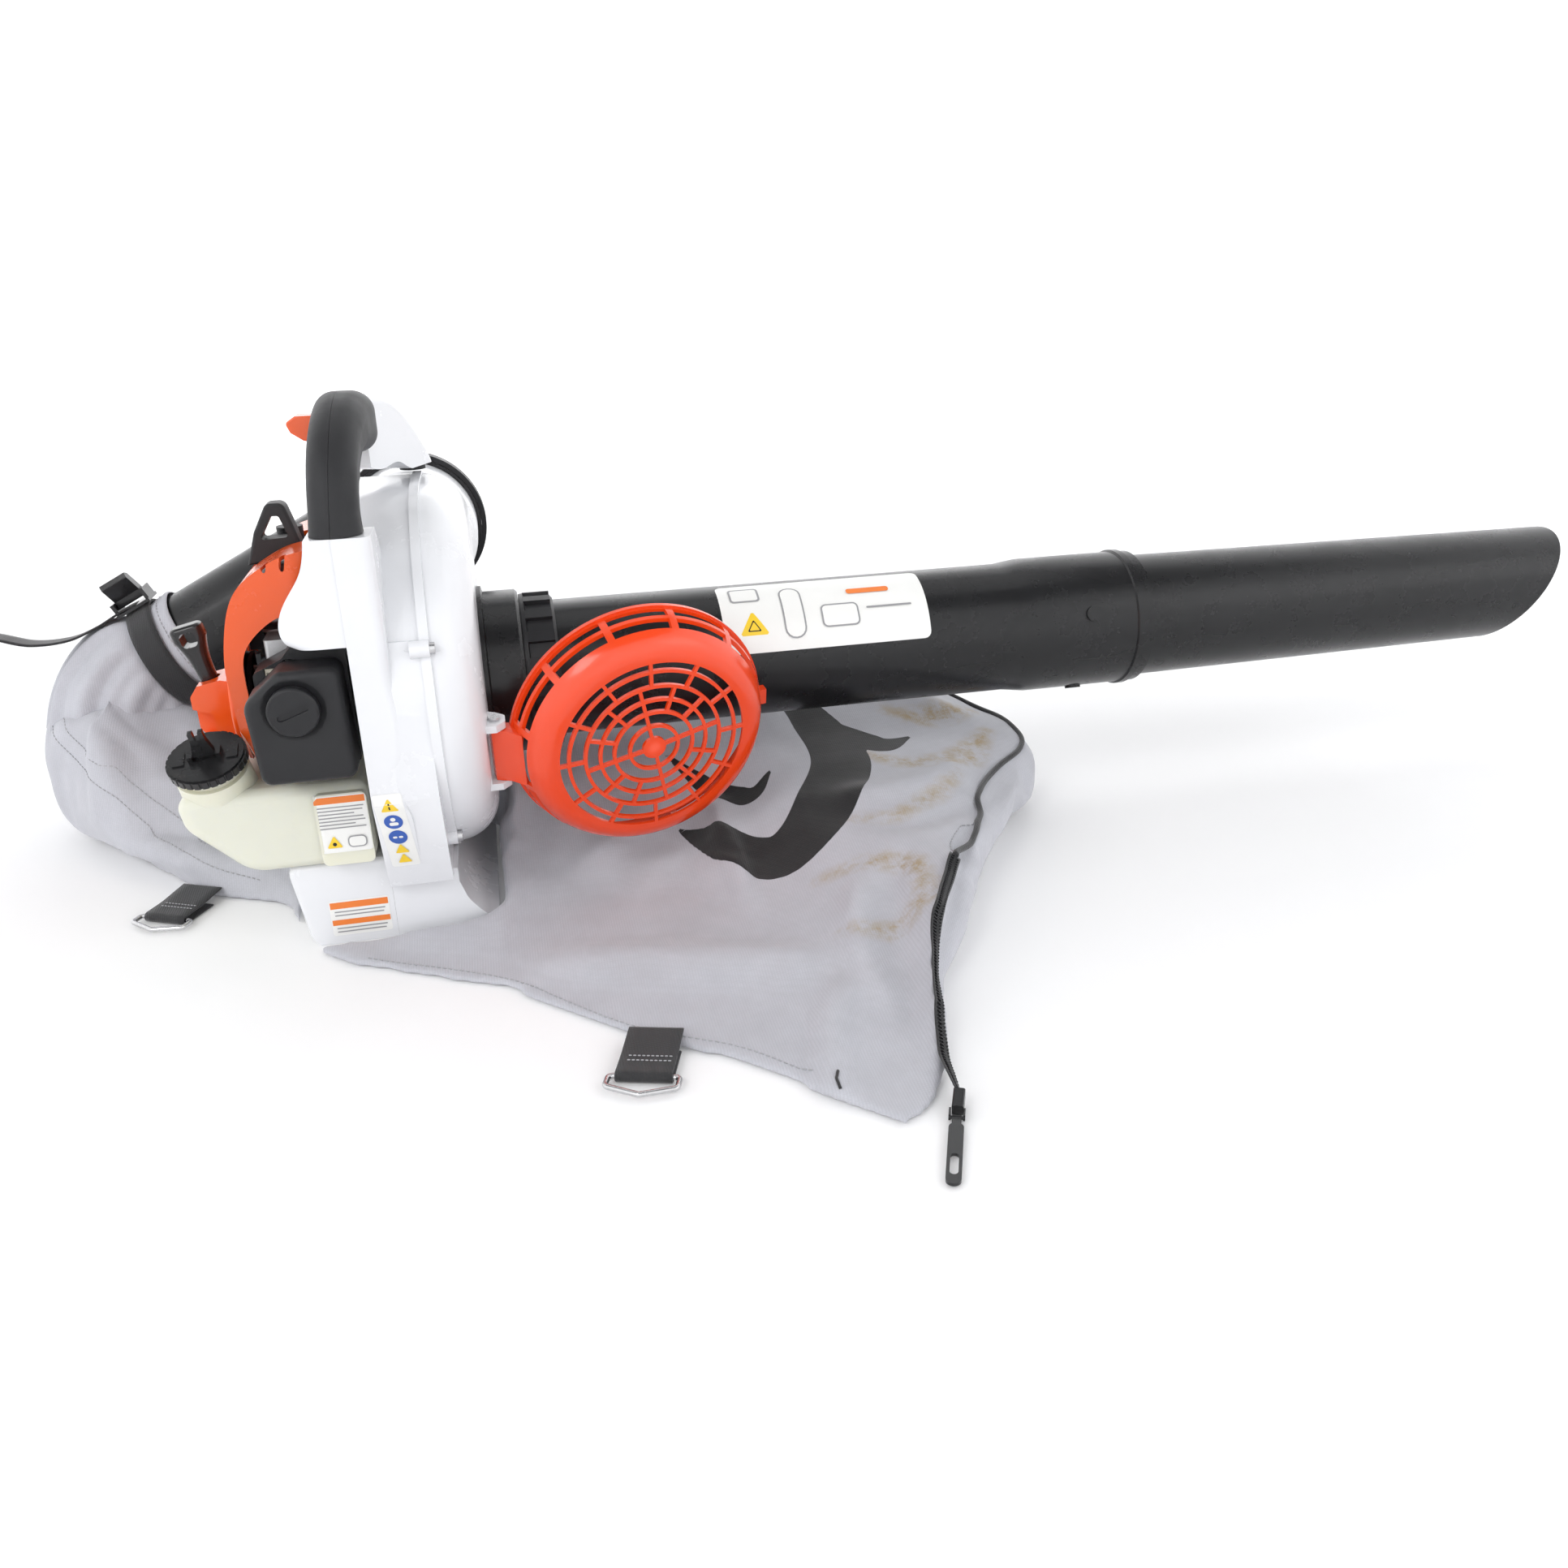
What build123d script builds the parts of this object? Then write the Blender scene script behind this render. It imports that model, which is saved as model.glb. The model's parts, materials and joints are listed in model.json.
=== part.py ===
"""Hand-held petrol vacuum shredder with suction tubes and catcher bag.

Millimetres, +Z up.  +X runs along the fan axis and the suction tube towards
the nozzle, -Y is the operator's side.  The origin is on the sole of the foot,
straight below the fan axis.
"""
import os
from math import cos, radians, sin

from build123d import *

os.makedirs("parts", exist_ok=True)

# ---------------------------------------------------------------- dimensions
AXIS_Z = 155.0          # crank, fan and tube axis above the sole
SEAM_X = 1.5            # parting plane between handle side and fan housing
SEAM_GAP = 0.1
FLANGE_X = 46.0         # parting plane of the two fan housing halves
FACE_X = 78.0           # intake face of the fan housing
WALL = 2.6              # moulded wall
FREE = 0.4              # clearance between pieces that pass each other

CUT_Y, CUT_Z = -11.4, 145.3     # centre of the first volute arc
CUT_R = 102.6                   # radius of the first volute arc
STEP = 14.0                     # growth of the volute per quarter turn
CORNER_R = 36.0                 # corner over the outlet
FACE_FILLET = 30.0              # rounding of the intake side
DUCT_X, DUCT_Z = 36.0, 244.0    # axis of the outlet duct
DUCT_R = 47.0
DUCT_END_Y = 126.0

CYL_X = -38.0           # axis of the engine cylinder
BORE_R = 19.0
SHAFT_R = 6.0
RUN = 0.05              # radial running clearance of shafts
FAN_R = 84.0

TUBE_R = 48.5           # upper suction tube
TUBE_WALL = 2.4
BELL_X0, BELL_X1, RIM_X = 466.0, 484.0, 566.0
LOWER_R0, LOWER_R1 = 47.0, 43.2
MOUTH_X = 921.0         # where the bevelled mouth crosses the tube axis
MOUTH_SLOPE = 0.68      # the mouth's top stands further out than its bottom

FOOT_Y0, FOOT_Y1 = -90.0, 78.0


def scroll_face(x, grow):
    """Volute outline in the plane at x, grown outward by grow."""
    rear_y = CUT_Y + CUT_R + grow
    top_z = CUT_Z + CUT_R + 3 * STEP + grow
    with BuildSketch(Plane.YZ.offset(x)) as face:
        with BuildLine():
            CenterArc((CUT_Y, CUT_Z), CUT_R + grow, 0, -90)
            CenterArc((CUT_Y, CUT_Z + STEP), CUT_R + STEP + grow, -90, -90)
            CenterArc((CUT_Y + STEP, CUT_Z + STEP), CUT_R + 2 * STEP + grow, 180, -90)
            Polyline((CUT_Y + STEP, top_z), (rear_y, top_z), (rear_y, CUT_Z))
        make_face()
        corner = face.vertices().group_by(Axis.Y)[-1].sort_by(Axis.X)[-1]
        fillet(corner, CORNER_R + grow)
    return face.sketch


def scroll_solid(x0, x1, grow, intake_fillet, engine_fillet):
    """Volute body between two planes with both rims rounded."""
    with BuildPart() as body:
        extrude(scroll_face(x0, grow), amount=x1 - x0)
        fillet(body.faces().sort_by(Axis.X)[-1].edges(), intake_fillet)
        fillet(body.faces().sort_by(Axis.X)[0].edges(), engine_fillet)
    return body.part


def duct_solid(start_y, start_r, end_y, end_r):
    """Round outlet duct that widens from start_r and ends straight."""
    with BuildPart() as duct:
        with BuildSketch(Plane.XY.offset(DUCT_Z)):
            with BuildLine():
                Polyline(
                    (DUCT_X, start_y),
                    (DUCT_X + start_r, start_y),
                    (DUCT_X + end_r, start_y + 50),
                    (DUCT_X + end_r, end_y),
                    (DUCT_X, end_y),
                    close=True,
                )
            make_face()
        revolve(axis=Axis((DUCT_X, 0, DUCT_Z), (0, 1, 0)))
    return duct.part


def rim_point(angle, out):
    """Point at a distance out from the volute outline, in the direction angle."""
    quarter = int(angle // 90) % 4
    centres = {
        1: (CUT_Y + STEP, CUT_Z + STEP, CUT_R + 2 * STEP),
        2: (CUT_Y, CUT_Z + STEP, CUT_R + STEP),
        3: (CUT_Y, CUT_Z, CUT_R),
    }
    y, z, radius = centres[quarter]
    reach = radius + out
    return y + reach * cos(radians(angle)), z + reach * sin(radians(angle))


BOSS_ANGLES = (158, 228, 300, 345)
BOSS_POINTS = [rim_point(angle, 3) for angle in BOSS_ANGLES]
BOSS_R = 5.5
SCREW_R = 2.0

scroll_outside = scroll_solid(SEAM_X + SEAM_GAP, FACE_X, 0, FACE_FILLET, 5)
scroll_cavity = scroll_solid(
    SEAM_X + SEAM_GAP + WALL, FACE_X - WALL, -WALL, FACE_FILLET - WALL, 3
)
duct_outside = duct_solid(20, 34, DUCT_END_Y, DUCT_R)
duct_cavity = duct_solid(20, 34 - WALL, DUCT_END_Y + 1, DUCT_R - WALL)

# The intake screen hinges on two ears beside the intake.
SCREEN_LIFT = 16.2      # the hinge sits this many degrees below the fan axis
SCREEN_OPEN = 78.0
SCREEN_R = 88.5
SCREEN_DEPTH = 31.7
HINGE_REACH = 97.2
HINGE_X = 81.9
EAR_IN, EAR_OUT = 20.6, 26.0
PIN_R = 2.5

rho = Vector(0, -cos(radians(SCREEN_LIFT)), -sin(radians(SCREEN_LIFT)))
hinge_point = Vector(HINGE_X, 0, AXIS_Z) + rho * HINGE_REACH
hinge_dir = Vector(0, -sin(radians(SCREEN_LIFT)), cos(radians(SCREEN_LIFT)))
hinge_plane = Plane(origin=hinge_point, x_dir=(1, 0, 0), z_dir=hinge_dir)

# ------------------------------------------------------------- fan housing
with BuildPart() as fan_housing_inner:
    add(scroll_outside)
    add(duct_outside)
    split(bisect_by=Plane.YZ.offset(FLANGE_X), keep=Keep.BOTTOM)
    # parting flange with its screw bosses
    extrude(scroll_face(FLANGE_X - 3, 2), amount=3)
    with Locations(*[Location((FLANGE_X, y, z), (0, 90, 0)) for y, z in BOSS_POINTS]):
        Cylinder(BOSS_R, 9, align=(Align.CENTER, Align.CENTER, Align.MAX))
    # spine that carries the handle
    with BuildSketch(Plane.YZ.offset(SEAM_X + SEAM_GAP)):
        with BuildLine():
            Polyline(
                (-129, 281), (-95, 281), (-74, 264), (-30, 262),
                (-30, 60), (-70, 42), (-100, 42), (-129, 112), close=True,
            )
        make_face()
    extrude(amount=23)
    spine_front = fan_housing_inner.faces().filter_by(Axis.Y).sort_by(Axis.Y)[0]
    fillet(spine_front.edges().filter_by(Axis.Z).sort_by(Axis.X)[-1], 7)
    with BuildSketch(Plane.YZ.offset(SEAM_X + SEAM_GAP)) as panel:
        with BuildLine():
            Polyline(
                (-118, 214), (-127, 186), (-128.4, 150), (-128.4, 114), (-100.6, 42.5),
                (-60, 42.5), (-30, 60), (-30, 214), close=True,
            )
        make_face()
    extrude(amount=FLANGE_X - 3 - SEAM_X)
    # flared skirt of the foot
    with BuildSketch(Plane.XZ.offset(-FOOT_Y0)):
        with BuildLine():
            skirt_side = Spline((70, 5), (57, 14), (FLANGE_X + 3, 27), tangents=[(-1, 0.2), (-0.3, 1)])
            Polyline(
                (FLANGE_X + 3, 27), (FLANGE_X, 36), (FLANGE_X, 46), (SEAM_X + SEAM_GAP, 46),
                (SEAM_X + SEAM_GAP, 0), (70, 0), (70, 5),
            )
        make_face()
    extrude(amount=-(FOOT_Y1 - FOOT_Y0))
    add(scroll_cavity, mode=Mode.SUBTRACT)
    add(duct_cavity, mode=Mode.SUBTRACT)
    with Locations(Location((0, 0, AXIS_Z), (0, 90, 0))):
        Cylinder(10, 30, mode=Mode.SUBTRACT)
    with Locations(*[Location((FLANGE_X, y, z), (0, 90, 0)) for y, z in BOSS_POINTS]):
        Cylinder(SCREW_R, 24, mode=Mode.SUBTRACT)
fan_housing_inner.part.label = "fan_housing_inner"
export_step(fan_housing_inner.part, "parts/fan_housing_inner.step")

with BuildPart() as fan_housing_outer:
    add(scroll_outside)
    add(duct_outside)
    split(bisect_by=Plane.YZ.offset(FLANGE_X), keep=Keep.TOP)
    extrude(scroll_face(FLANGE_X, 2), amount=3)
    with Locations(*[Location((FLANGE_X, y, z), (0, 90, 0)) for y, z in BOSS_POINTS]):
        Cylinder(BOSS_R, 3, align=(Align.CENTER, Align.CENTER, Align.MIN))
    # hinge ears for the intake screen
    with BuildSketch(hinge_plane.offset(-EAR_OUT)) as ears:
        with BuildLine():
            Polyline((-16, -8), (1, -8), (7, -3), (7, 4), (1, 8), (-16, 14), close=True)
        make_face()
        fillet(ears.vertices().group_by(Axis.X)[-1], 2)
    extrude(amount=2 * EAR_OUT)
    with BuildSketch(hinge_plane.offset(-EAR_IN)):
        with Locations((6, 0)):
            Rectangle(24, 60)
    extrude(amount=2 * EAR_IN, mode=Mode.SUBTRACT)
    add(scroll_cavity, mode=Mode.SUBTRACT)
    add(duct_cavity, mode=Mode.SUBTRACT)
    with Locations(Location((FACE_X, 0, AXIS_Z), (0, 90, 0))):
        Cylinder(48, 30, mode=Mode.SUBTRACT)
    with BuildSketch(hinge_plane.offset(-40)):
        Circle(PIN_R + RUN)
    extrude(amount=80, mode=Mode.SUBTRACT)
    with Locations(*[Location((FLANGE_X, y, z), (0, 90, 0)) for y, z in BOSS_POINTS]):
        Cylinder(SCREW_R, 24, mode=Mode.SUBTRACT)
    with Locations(*[Location((FLANGE_X + 3, y, z), (0, 90, 0)) for y, z in BOSS_POINTS]):
        Cylinder(4.1, 9, align=(Align.CENTER, Align.CENTER, Align.MIN), mode=Mode.SUBTRACT)
fan_housing_outer.part.label = "fan_housing_outer"
export_step(fan_housing_outer.part, "parts/fan_housing_outer.step")

with BuildPart() as housing_screws:
    with Locations(*[Location((FLANGE_X + 3, y, z), (0, 90, 0)) for y, z in BOSS_POINTS]):
        Cylinder(SCREW_R - 0.1, 11, align=(Align.CENTER, Align.CENTER, Align.MAX))
        Cylinder(3.8, 3.2, align=(Align.CENTER, Align.CENTER, Align.MIN))
housing_screws.part.label = "housing_screws"
export_step(housing_screws.part, "parts/housing_screws.step")

# ------------------------------------------------------------ suction tubes
ADAPTER_R, ADAPTER_X = 58.0, 106.0
NUT_X0, NUT_X1, NUT_R = 106.4, 130.0, 52.0
NUT_RIBS = 18


def turned(points):
    """Solid of revolution about the fan axis from (x, radius) points."""
    with BuildPart() as body:
        with BuildSketch(Plane.XZ):
            with BuildLine():
                Polyline(*[(x, AXIS_Z + r) for x, r in points], close=True)
            make_face()
        revolve(axis=Axis((0, 0, AXIS_Z), (1, 0, 0)))
    return body.part


with BuildPart() as suction_adapter:
    add(turned([
        (FACE_X, 49), (FACE_X, 62), (FACE_X + 3, 62), (FACE_X + 4, ADAPTER_R),
        (ADAPTER_X - 2, ADAPTER_R), (ADAPTER_X, ADAPTER_R - 2), (ADAPTER_X, TUBE_R + FREE),
        (92, TUBE_R + FREE), (92, 46), (FACE_X, 46),
    ]))
suction_adapter.part.label = "suction_adapter"
export_step(suction_adapter.part, "parts/suction_adapter.step")

with BuildPart() as union_nut:
    add(turned([
        (NUT_X0, TUBE_R + FREE), (NUT_X0, NUT_R + 2), (NUT_X0 + 3, NUT_R + 2.5), (NUT_X0 + 4, NUT_R),
        (NUT_X1 - 2, NUT_R), (NUT_X1, NUT_R - 2), (NUT_X1, TUBE_R + FREE),
    ]))
    with BuildSketch(Plane.YZ.offset(NUT_X0 + 3)):
        with Locations((0, AXIS_Z)):
            with PolarLocations(NUT_R + 0.6, NUT_RIBS):
                Rectangle(4.4, 8)
    extrude(amount=NUT_X1 - NUT_X0 - 5)
union_nut.part.label = "union_nut"
export_step(union_nut.part, "parts/union_nut.step")

with BuildPart() as upper_suction_tube:
    inner_r = TUBE_R - TUBE_WALL
    bell_r = LOWER_R0 + 1.2 + FREE
    add(turned([
        (93, inner_r), (93, TUBE_R), (BELL_X0, TUBE_R), (BELL_X1, bell_r + TUBE_WALL),
        (RIM_X - 6, bell_r + TUBE_WALL), (RIM_X - 5, bell_r + TUBE_WALL + 1.4),
        (RIM_X, bell_r + TUBE_WALL + 1.4), (RIM_X, bell_r), (BELL_X1, bell_r), (BELL_X0, inner_r),
    ]))
    # snap knobs of the bayonet
    for side in (20, 160, 250):
        angle = radians(side)
        knob = Plane(
            origin=(525, bell_r * cos(angle), AXIS_Z + bell_r * sin(angle)),
            x_dir=(1, 0, 0), z_dir=(0, cos(angle), sin(angle)),
        )
        with BuildSketch(knob.offset(0.5)):
            Circle(6)
        extrude(amount=TUBE_WALL + 1.2)
upper_suction_tube.part.label = "upper_suction_tube"
export_step(upper_suction_tube.part, "parts/upper_suction_tube.step")

with BuildPart() as lower_suction_tube:
    spigot_r = LOWER_R0 + 1.2
    inner_0, inner_1 = LOWER_R0 - TUBE_WALL, LOWER_R1 - TUBE_WALL
    far_x = MOUTH_X + 60
    add(turned([
        (492, inner_0), (492, spigot_r), (RIM_X + 0.4, spigot_r), (RIM_X + 0.4, spigot_r + 2.6),
        (RIM_X + 8, spigot_r + 2.6), (RIM_X + 10, LOWER_R0), (far_x, LOWER_R1),
        (far_x, inner_1), (RIM_X + 10, inner_0),
    ]))
    # bevelled mouth
    with BuildSketch(Plane.XZ.offset(-60)):
        with BuildLine():
            low, high = AXIS_Z - 60, AXIS_Z + 60
            Polyline(
                (MOUTH_X - 60 * MOUTH_SLOPE, low), (MOUTH_X + 60 * MOUTH_SLOPE, high),
                (MOUTH_X + 100, high), (MOUTH_X + 100, low), close=True,
            )
        make_face()
    extrude(amount=120, mode=Mode.SUBTRACT)
lower_suction_tube.part.label = "lower_suction_tube"
export_step(lower_suction_tube.part, "parts/lower_suction_tube.step")

# ------------------------------------------------------------ intake screen
swing = radians(SCREEN_OPEN)
screen_out = Vector(sin(swing), 0, 0) - rho * cos(swing)
screen_normal = Vector(cos(swing), 0, 0) + rho * sin(swing)
screen_centre = hinge_point + screen_out * HINGE_REACH
screen_plane = Plane(origin=screen_centre, x_dir=screen_out, z_dir=screen_normal)
screen_section = Plane(
    origin=screen_centre, x_dir=screen_out, z_dir=screen_out.cross(screen_normal)
)
RING_FRACTIONS = (0.258, 0.419, 0.565, 0.718, 0.887)
GRILLE_R = 66.0
HUB_R = 7.0
RIB = 2.4
BARS = 12

with BuildPart() as intake_screen:
    # dished basket: side wall, smooth shoulder band and face
    with BuildSketch(screen_section):
        with BuildLine():
            Spline((86.5, 0), (84.6, 12), (78, 25), (GRILLE_R + 3, 30.5), tangents=[(0, 1), (-1, 0.15)])
            Line((GRILLE_R + 3, 30.5), (0, SCREEN_DEPTH + 1))
            Line((0, SCREEN_DEPTH + 1), (0, SCREEN_DEPTH + 3.4))
            Line((0, SCREEN_DEPTH + 3.4), (GRILLE_R + 3, 33))
            Spline((GRILLE_R + 3, 33), (80, 27), (87, 13), (SCREEN_R, 3), tangents=[(1, -0.15), (0, -1)])
            Polyline((SCREEN_R, 3), (SCREEN_R + 1.6, 3), (SCREEN_R + 1.6, 0), (86.5, 0))
        make_face()
    revolve(axis=Axis(screen_centre, screen_normal))
    # openings of the face between rings and radial bars
    rings = [HUB_R] + [GRILLE_R * f for f in RING_FRACTIONS] + [GRILLE_R]
    with BuildSketch(screen_plane.offset(SCREEN_DEPTH - 6)):
        for inner, outer in reversed(list(zip(rings, rings[1:]))):
            Circle(outer - RIB / 2)
            Circle(inner + RIB / 2, mode=Mode.SUBTRACT)
        for inner, outer, count, turn in (
            (0, rings[2], 4, 10), (rings[2], rings[4], 12, 10), (rings[4], GRILLE_R + 2, 12, 0)
        ):
            middle = (inner + outer) / 2
            with PolarLocations(middle, count, start_angle=turn):
                Rectangle(outer - inner, RIB, mode=Mode.SUBTRACT)
    extrude(amount=14, mode=Mode.SUBTRACT)
    # two rows of openings in the side wall
    for low, high in ((4.5, 11.5), (14.0, 21.5)):
        with BuildSketch(screen_plane.offset(low)):
            Circle(SCREEN_R + 2)
            Circle(72, mode=Mode.SUBTRACT)
            with PolarLocations(80, BARS, start_angle=15):
                Rectangle(20, 5, mode=Mode.SUBTRACT)
        extrude(amount=high - low, mode=Mode.SUBTRACT)
    # hinge block with its barrel
    with BuildSketch(screen_section.offset(0)):
        with BuildLine():
            Polyline(
                (-HINGE_REACH - 3.5, -3.5), (-HINGE_REACH - 3.5, 3.5), (-HINGE_REACH + 5, 8),
                (-84, 17), (-84, 0), (-HINGE_REACH + 3.5, -3.5), close=True,
            )
        make_face()
    extrude(amount=EAR_IN - FREE, both=True)
    with BuildSketch(hinge_plane.offset(-EAR_IN)):
        Circle(PIN_R + RUN)
    extrude(amount=2 * EAR_IN, mode=Mode.SUBTRACT)
    # latch lug at the far side
    with BuildSketch(screen_section):
        with Locations((SCREEN_R + 3, 3)):
            Rectangle(6, 6)
    extrude(amount=6, both=True)
intake_screen.part.label = "intake_screen"
export_step(intake_screen.part, "parts/intake_screen.step")

with BuildPart() as screen_hinge_pin:
    with BuildSketch(hinge_plane.offset(-EAR_OUT - 1)):
        Circle(PIN_R)
    extrude(amount=2 * EAR_OUT + 2)
    with BuildSketch(hinge_plane.offset(EAR_OUT + 1)):
        Circle(PIN_R + 1.2)
    extrude(amount=1.5)
screen_hinge_pin.part.label = "screen_hinge_pin"
export_step(screen_hinge_pin.part, "parts/screen_hinge_pin.step")

# ------------------------------------------------------------ rotating group
with BuildPart() as fan_wheel:
    add(turned([
        (15, SHAFT_R + RUN), (15, FAN_R), (17.5, FAN_R), (22, 30), (50, 16), (58, 14), (58, SHAFT_R + RUN),
    ]))
    with BuildSketch(Plane.YZ.offset(16)):
        with Locations((0, AXIS_Z)):
            with PolarLocations(50, 12):
                Rectangle(66, 2.6, rotation=18)
    extrude(amount=44)
fan_wheel.part.label = "fan_wheel"
export_step(fan_wheel.part, "parts/fan_wheel.step")

with BuildPart() as shredder_blade:
    with BuildSketch(Plane.YZ.offset(61)):
        with Locations((0, AXIS_Z)):
            Circle(13)
            with PolarLocations(24, 4):
                Rectangle(32, 9)
            Circle(SHAFT_R + RUN, mode=Mode.SUBTRACT)
    extrude(amount=2.5)
shredder_blade.part.label = "shredder_blade"
export_step(shredder_blade.part, "parts/shredder_blade.step")

with BuildPart() as fan_nut:
    with BuildSketch(Plane.YZ.offset(64)):
        with Locations((0, AXIS_Z)):
            RegularPolygon(10, 6)
            Circle(SHAFT_R + RUN, mode=Mode.SUBTRACT)
    extrude(amount=7)
    fillet(fan_nut.faces().sort_by(Axis.X)[-1].edges().sort_by(SortBy.LENGTH)[-6:], 0.8)
fan_nut.part.label = "fan_nut"
export_step(fan_nut.part, "parts/fan_nut.step")

WEB_R, PIN_OFFSET = 23.0, 13.0
with BuildPart() as crankshaft:
    for x0, x1, radius, lift in (
        (-74, -50, SHAFT_R, 0), (-50, -43, WEB_R, 0), (-43, -33, 5, PIN_OFFSET),
        (-33, -26, WEB_R, 0), (-26, 74, SHAFT_R, 0),
    ):
        with BuildSketch(Plane.YZ.offset(x0)):
            with Locations((0, AXIS_Z + lift)):
                Circle(radius)
        extrude(amount=x1 - x0)
crankshaft.part.label = "crankshaft"
export_step(crankshaft.part, "parts/crankshaft.step")

with BuildPart() as flywheel:
    add(turned([
        (-73, SHAFT_R + RUN), (-73, 14), (-69, 16), (-69, 33), (-64, 33), (-64, SHAFT_R + RUN),
    ]))
    with BuildSketch(Plane.YZ.offset(-73)):
        with Locations((0, AXIS_Z)):
            with PolarLocations(25, 14):
                Rectangle(15, 2)
    extrude(amount=5)
flywheel.part.label = "flywheel"
export_step(flywheel.part, "parts/flywheel.step")

# ------------------------------------------------------------------- engine
SEAT_R = 16.0
with BuildPart() as crankcase:
    with BuildSketch(Plane.YZ.offset(-62)):
        with Locations((0, AXIS_Z + 1.5)):
            RectangleRounded(68, 71, 12)
    extrude(amount=48)
    with Locations(Location((-14, 0, AXIS_Z), (0, 90, 0))):
        Cylinder(31, 14 + SEAM_X, align=(Align.CENTER, Align.CENTER, Align.MIN))
        Cylinder(SHAFT_R + 1.5, 60, mode=Mode.SUBTRACT)
    with Locations(Location((CYL_X, 0, AXIS_Z), (0, 90, 0))):
        Cylinder(25, 28, mode=Mode.SUBTRACT)
        Cylinder(SEAT_R, 80 - 32, mode=Mode.SUBTRACT)
    with Locations((CYL_X, 0, AXIS_Z)):
        Cylinder(22.5, 60, align=(Align.CENTER, Align.CENTER, Align.MIN), mode=Mode.SUBTRACT)
crankcase.part.label = "crankcase"
export_step(crankcase.part, "parts/crankcase.step")

with BuildPart() as crank_bearings:
    for start in (-62, -23.9):
        with BuildSketch(Plane.YZ.offset(start)):
            with Locations((0, AXIS_Z)):
                Circle(SEAT_R - RUN)
                Circle(SHAFT_R + RUN, mode=Mode.SUBTRACT)
        extrude(amount=9.8)
crank_bearings.part.label = "crank_bearings"
export_step(crank_bearings.part, "parts/crank_bearings.step")

CASE_TOP = 192.0
with BuildPart() as cylinder:
    with Locations((CYL_X, 0, CASE_TOP)):
        Cylinder(24, 56, align=(Align.CENTER, Align.CENTER, Align.MIN))
        Box(50, 50, 5, align=(Align.CENTER, Align.CENTER, Align.MIN))
    for level in range(6):
        with BuildSketch(Plane.XY.offset(205 + 7.4 * level)):
            with Locations((CYL_X, 0)):
                RectangleRounded(50, 64 - level, 10)
        extrude(amount=2.2)
    with Locations((CYL_X, 0, CASE_TOP - 12)):
        Cylinder(22.2, 12, align=(Align.CENTER, Align.CENTER, Align.MIN))
        Cylinder(BORE_R, 60, align=(Align.CENTER, Align.CENTER, Align.MIN), mode=Mode.SUBTRACT)
        Cylinder(7, 80, align=(Align.CENTER, Align.CENTER, Align.MIN), mode=Mode.SUBTRACT)
    # inlet port on the operator's side, exhaust port on the far side
    with Locations(Location((CYL_X, 0, 198), (90, 0, 0))):
        Cylinder(5, 60, mode=Mode.SUBTRACT)
cylinder.part.label = "cylinder"
export_step(cylinder.part, "parts/cylinder.step")

with BuildPart() as piston:
    with Locations((CYL_X, 0, 211)):
        Cylinder(BORE_R - RUN, 26, align=(Align.CENTER, Align.CENTER, Align.MIN))
        Cylinder(BORE_R - 3, 21, align=(Align.CENTER, Align.CENTER, Align.MIN), mode=Mode.SUBTRACT)
    with Locations(Location((CYL_X, 0, 220), (0, 90, 0))):
        Cylinder(4, 2 * BORE_R - 4)
piston.part.label = "piston"
export_step(piston.part, "parts/piston.step")

with BuildPart() as spark_plug:
    with Locations((CYL_X, 0, 240)):
        Cylinder(7 - RUN, 8, align=(Align.CENTER, Align.CENTER, Align.MIN))
    with BuildSketch(Plane.XY.offset(248)):
        with Locations((CYL_X, 0)):
            RegularPolygon(9, 6)
    extrude(amount=5)
    with Locations((CYL_X, 0, 253)):
        Cylinder(4.5, 12, align=(Align.CENTER, Align.CENTER, Align.MIN))
spark_plug.part.label = "spark_plug"
export_step(spark_plug.part, "parts/spark_plug.step")

BOOT_FRONT = -26.0
with BuildPart() as spark_plug_boot:
    with BuildSketch(Plane.XZ.offset(-BOOT_FRONT)) as boot_side:
        with BuildLine():
            Polyline((-64, 249), (-27, 253), (-31, 270), (-36, 288), (-47, 288), (-57, 270), close=True)
        make_face()
        fillet(boot_side.vertices().group_by(Axis.Y)[-1], 5)
    extrude(amount=-16)
    fillet(spark_plug_boot.faces().filter_by(Axis.Y).edges(), 2.2)
    with BuildSketch(Plane.XZ.offset(-BOOT_FRONT + 1)) as loop_hole:
        with BuildLine():
            Polyline((-54, 265), (-35.5, 266), (-40, 280), (-45, 280), close=True)
        make_face()
        fillet(loop_hole.vertices(), 1.8)
    extrude(amount=-18, mode=Mode.SUBTRACT)
    # hood over the plug
    with Locations((CYL_X, -4, 250)):
        Box(17, 24, 10, align=(Align.CENTER, Align.CENTER, Align.MIN))
    with Locations((CYL_X, 0, 250)):
        Cylinder(8.5, 19, align=(Align.CENTER, Align.CENTER, Align.MIN))
        Cylinder(9.4, 3.4, align=(Align.CENTER, Align.CENTER, Align.MIN), mode=Mode.SUBTRACT)
    with Locations((CYL_X, 0, 253)):
        Cylinder(4.5 + RUN, 12.2, align=(Align.CENTER, Align.CENTER, Align.MIN), mode=Mode.SUBTRACT)
spark_plug_boot.part.label = "spark_plug_boot"
export_step(spark_plug_boot.part, "parts/spark_plug_boot.step")

with BuildPart() as ignition_module:
    with BuildSketch(Plane.YZ.offset(-74)):
        with BuildLine():
            Polyline((-14, 190), (14, 190), (14, 212), (9, 216), (-9, 216), (-14, 212), close=True)
        make_face()
    extrude(amount=10)
ignition_module.part.label = "ignition_module"
export_step(ignition_module.part, "parts/ignition_module.step")

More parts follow.
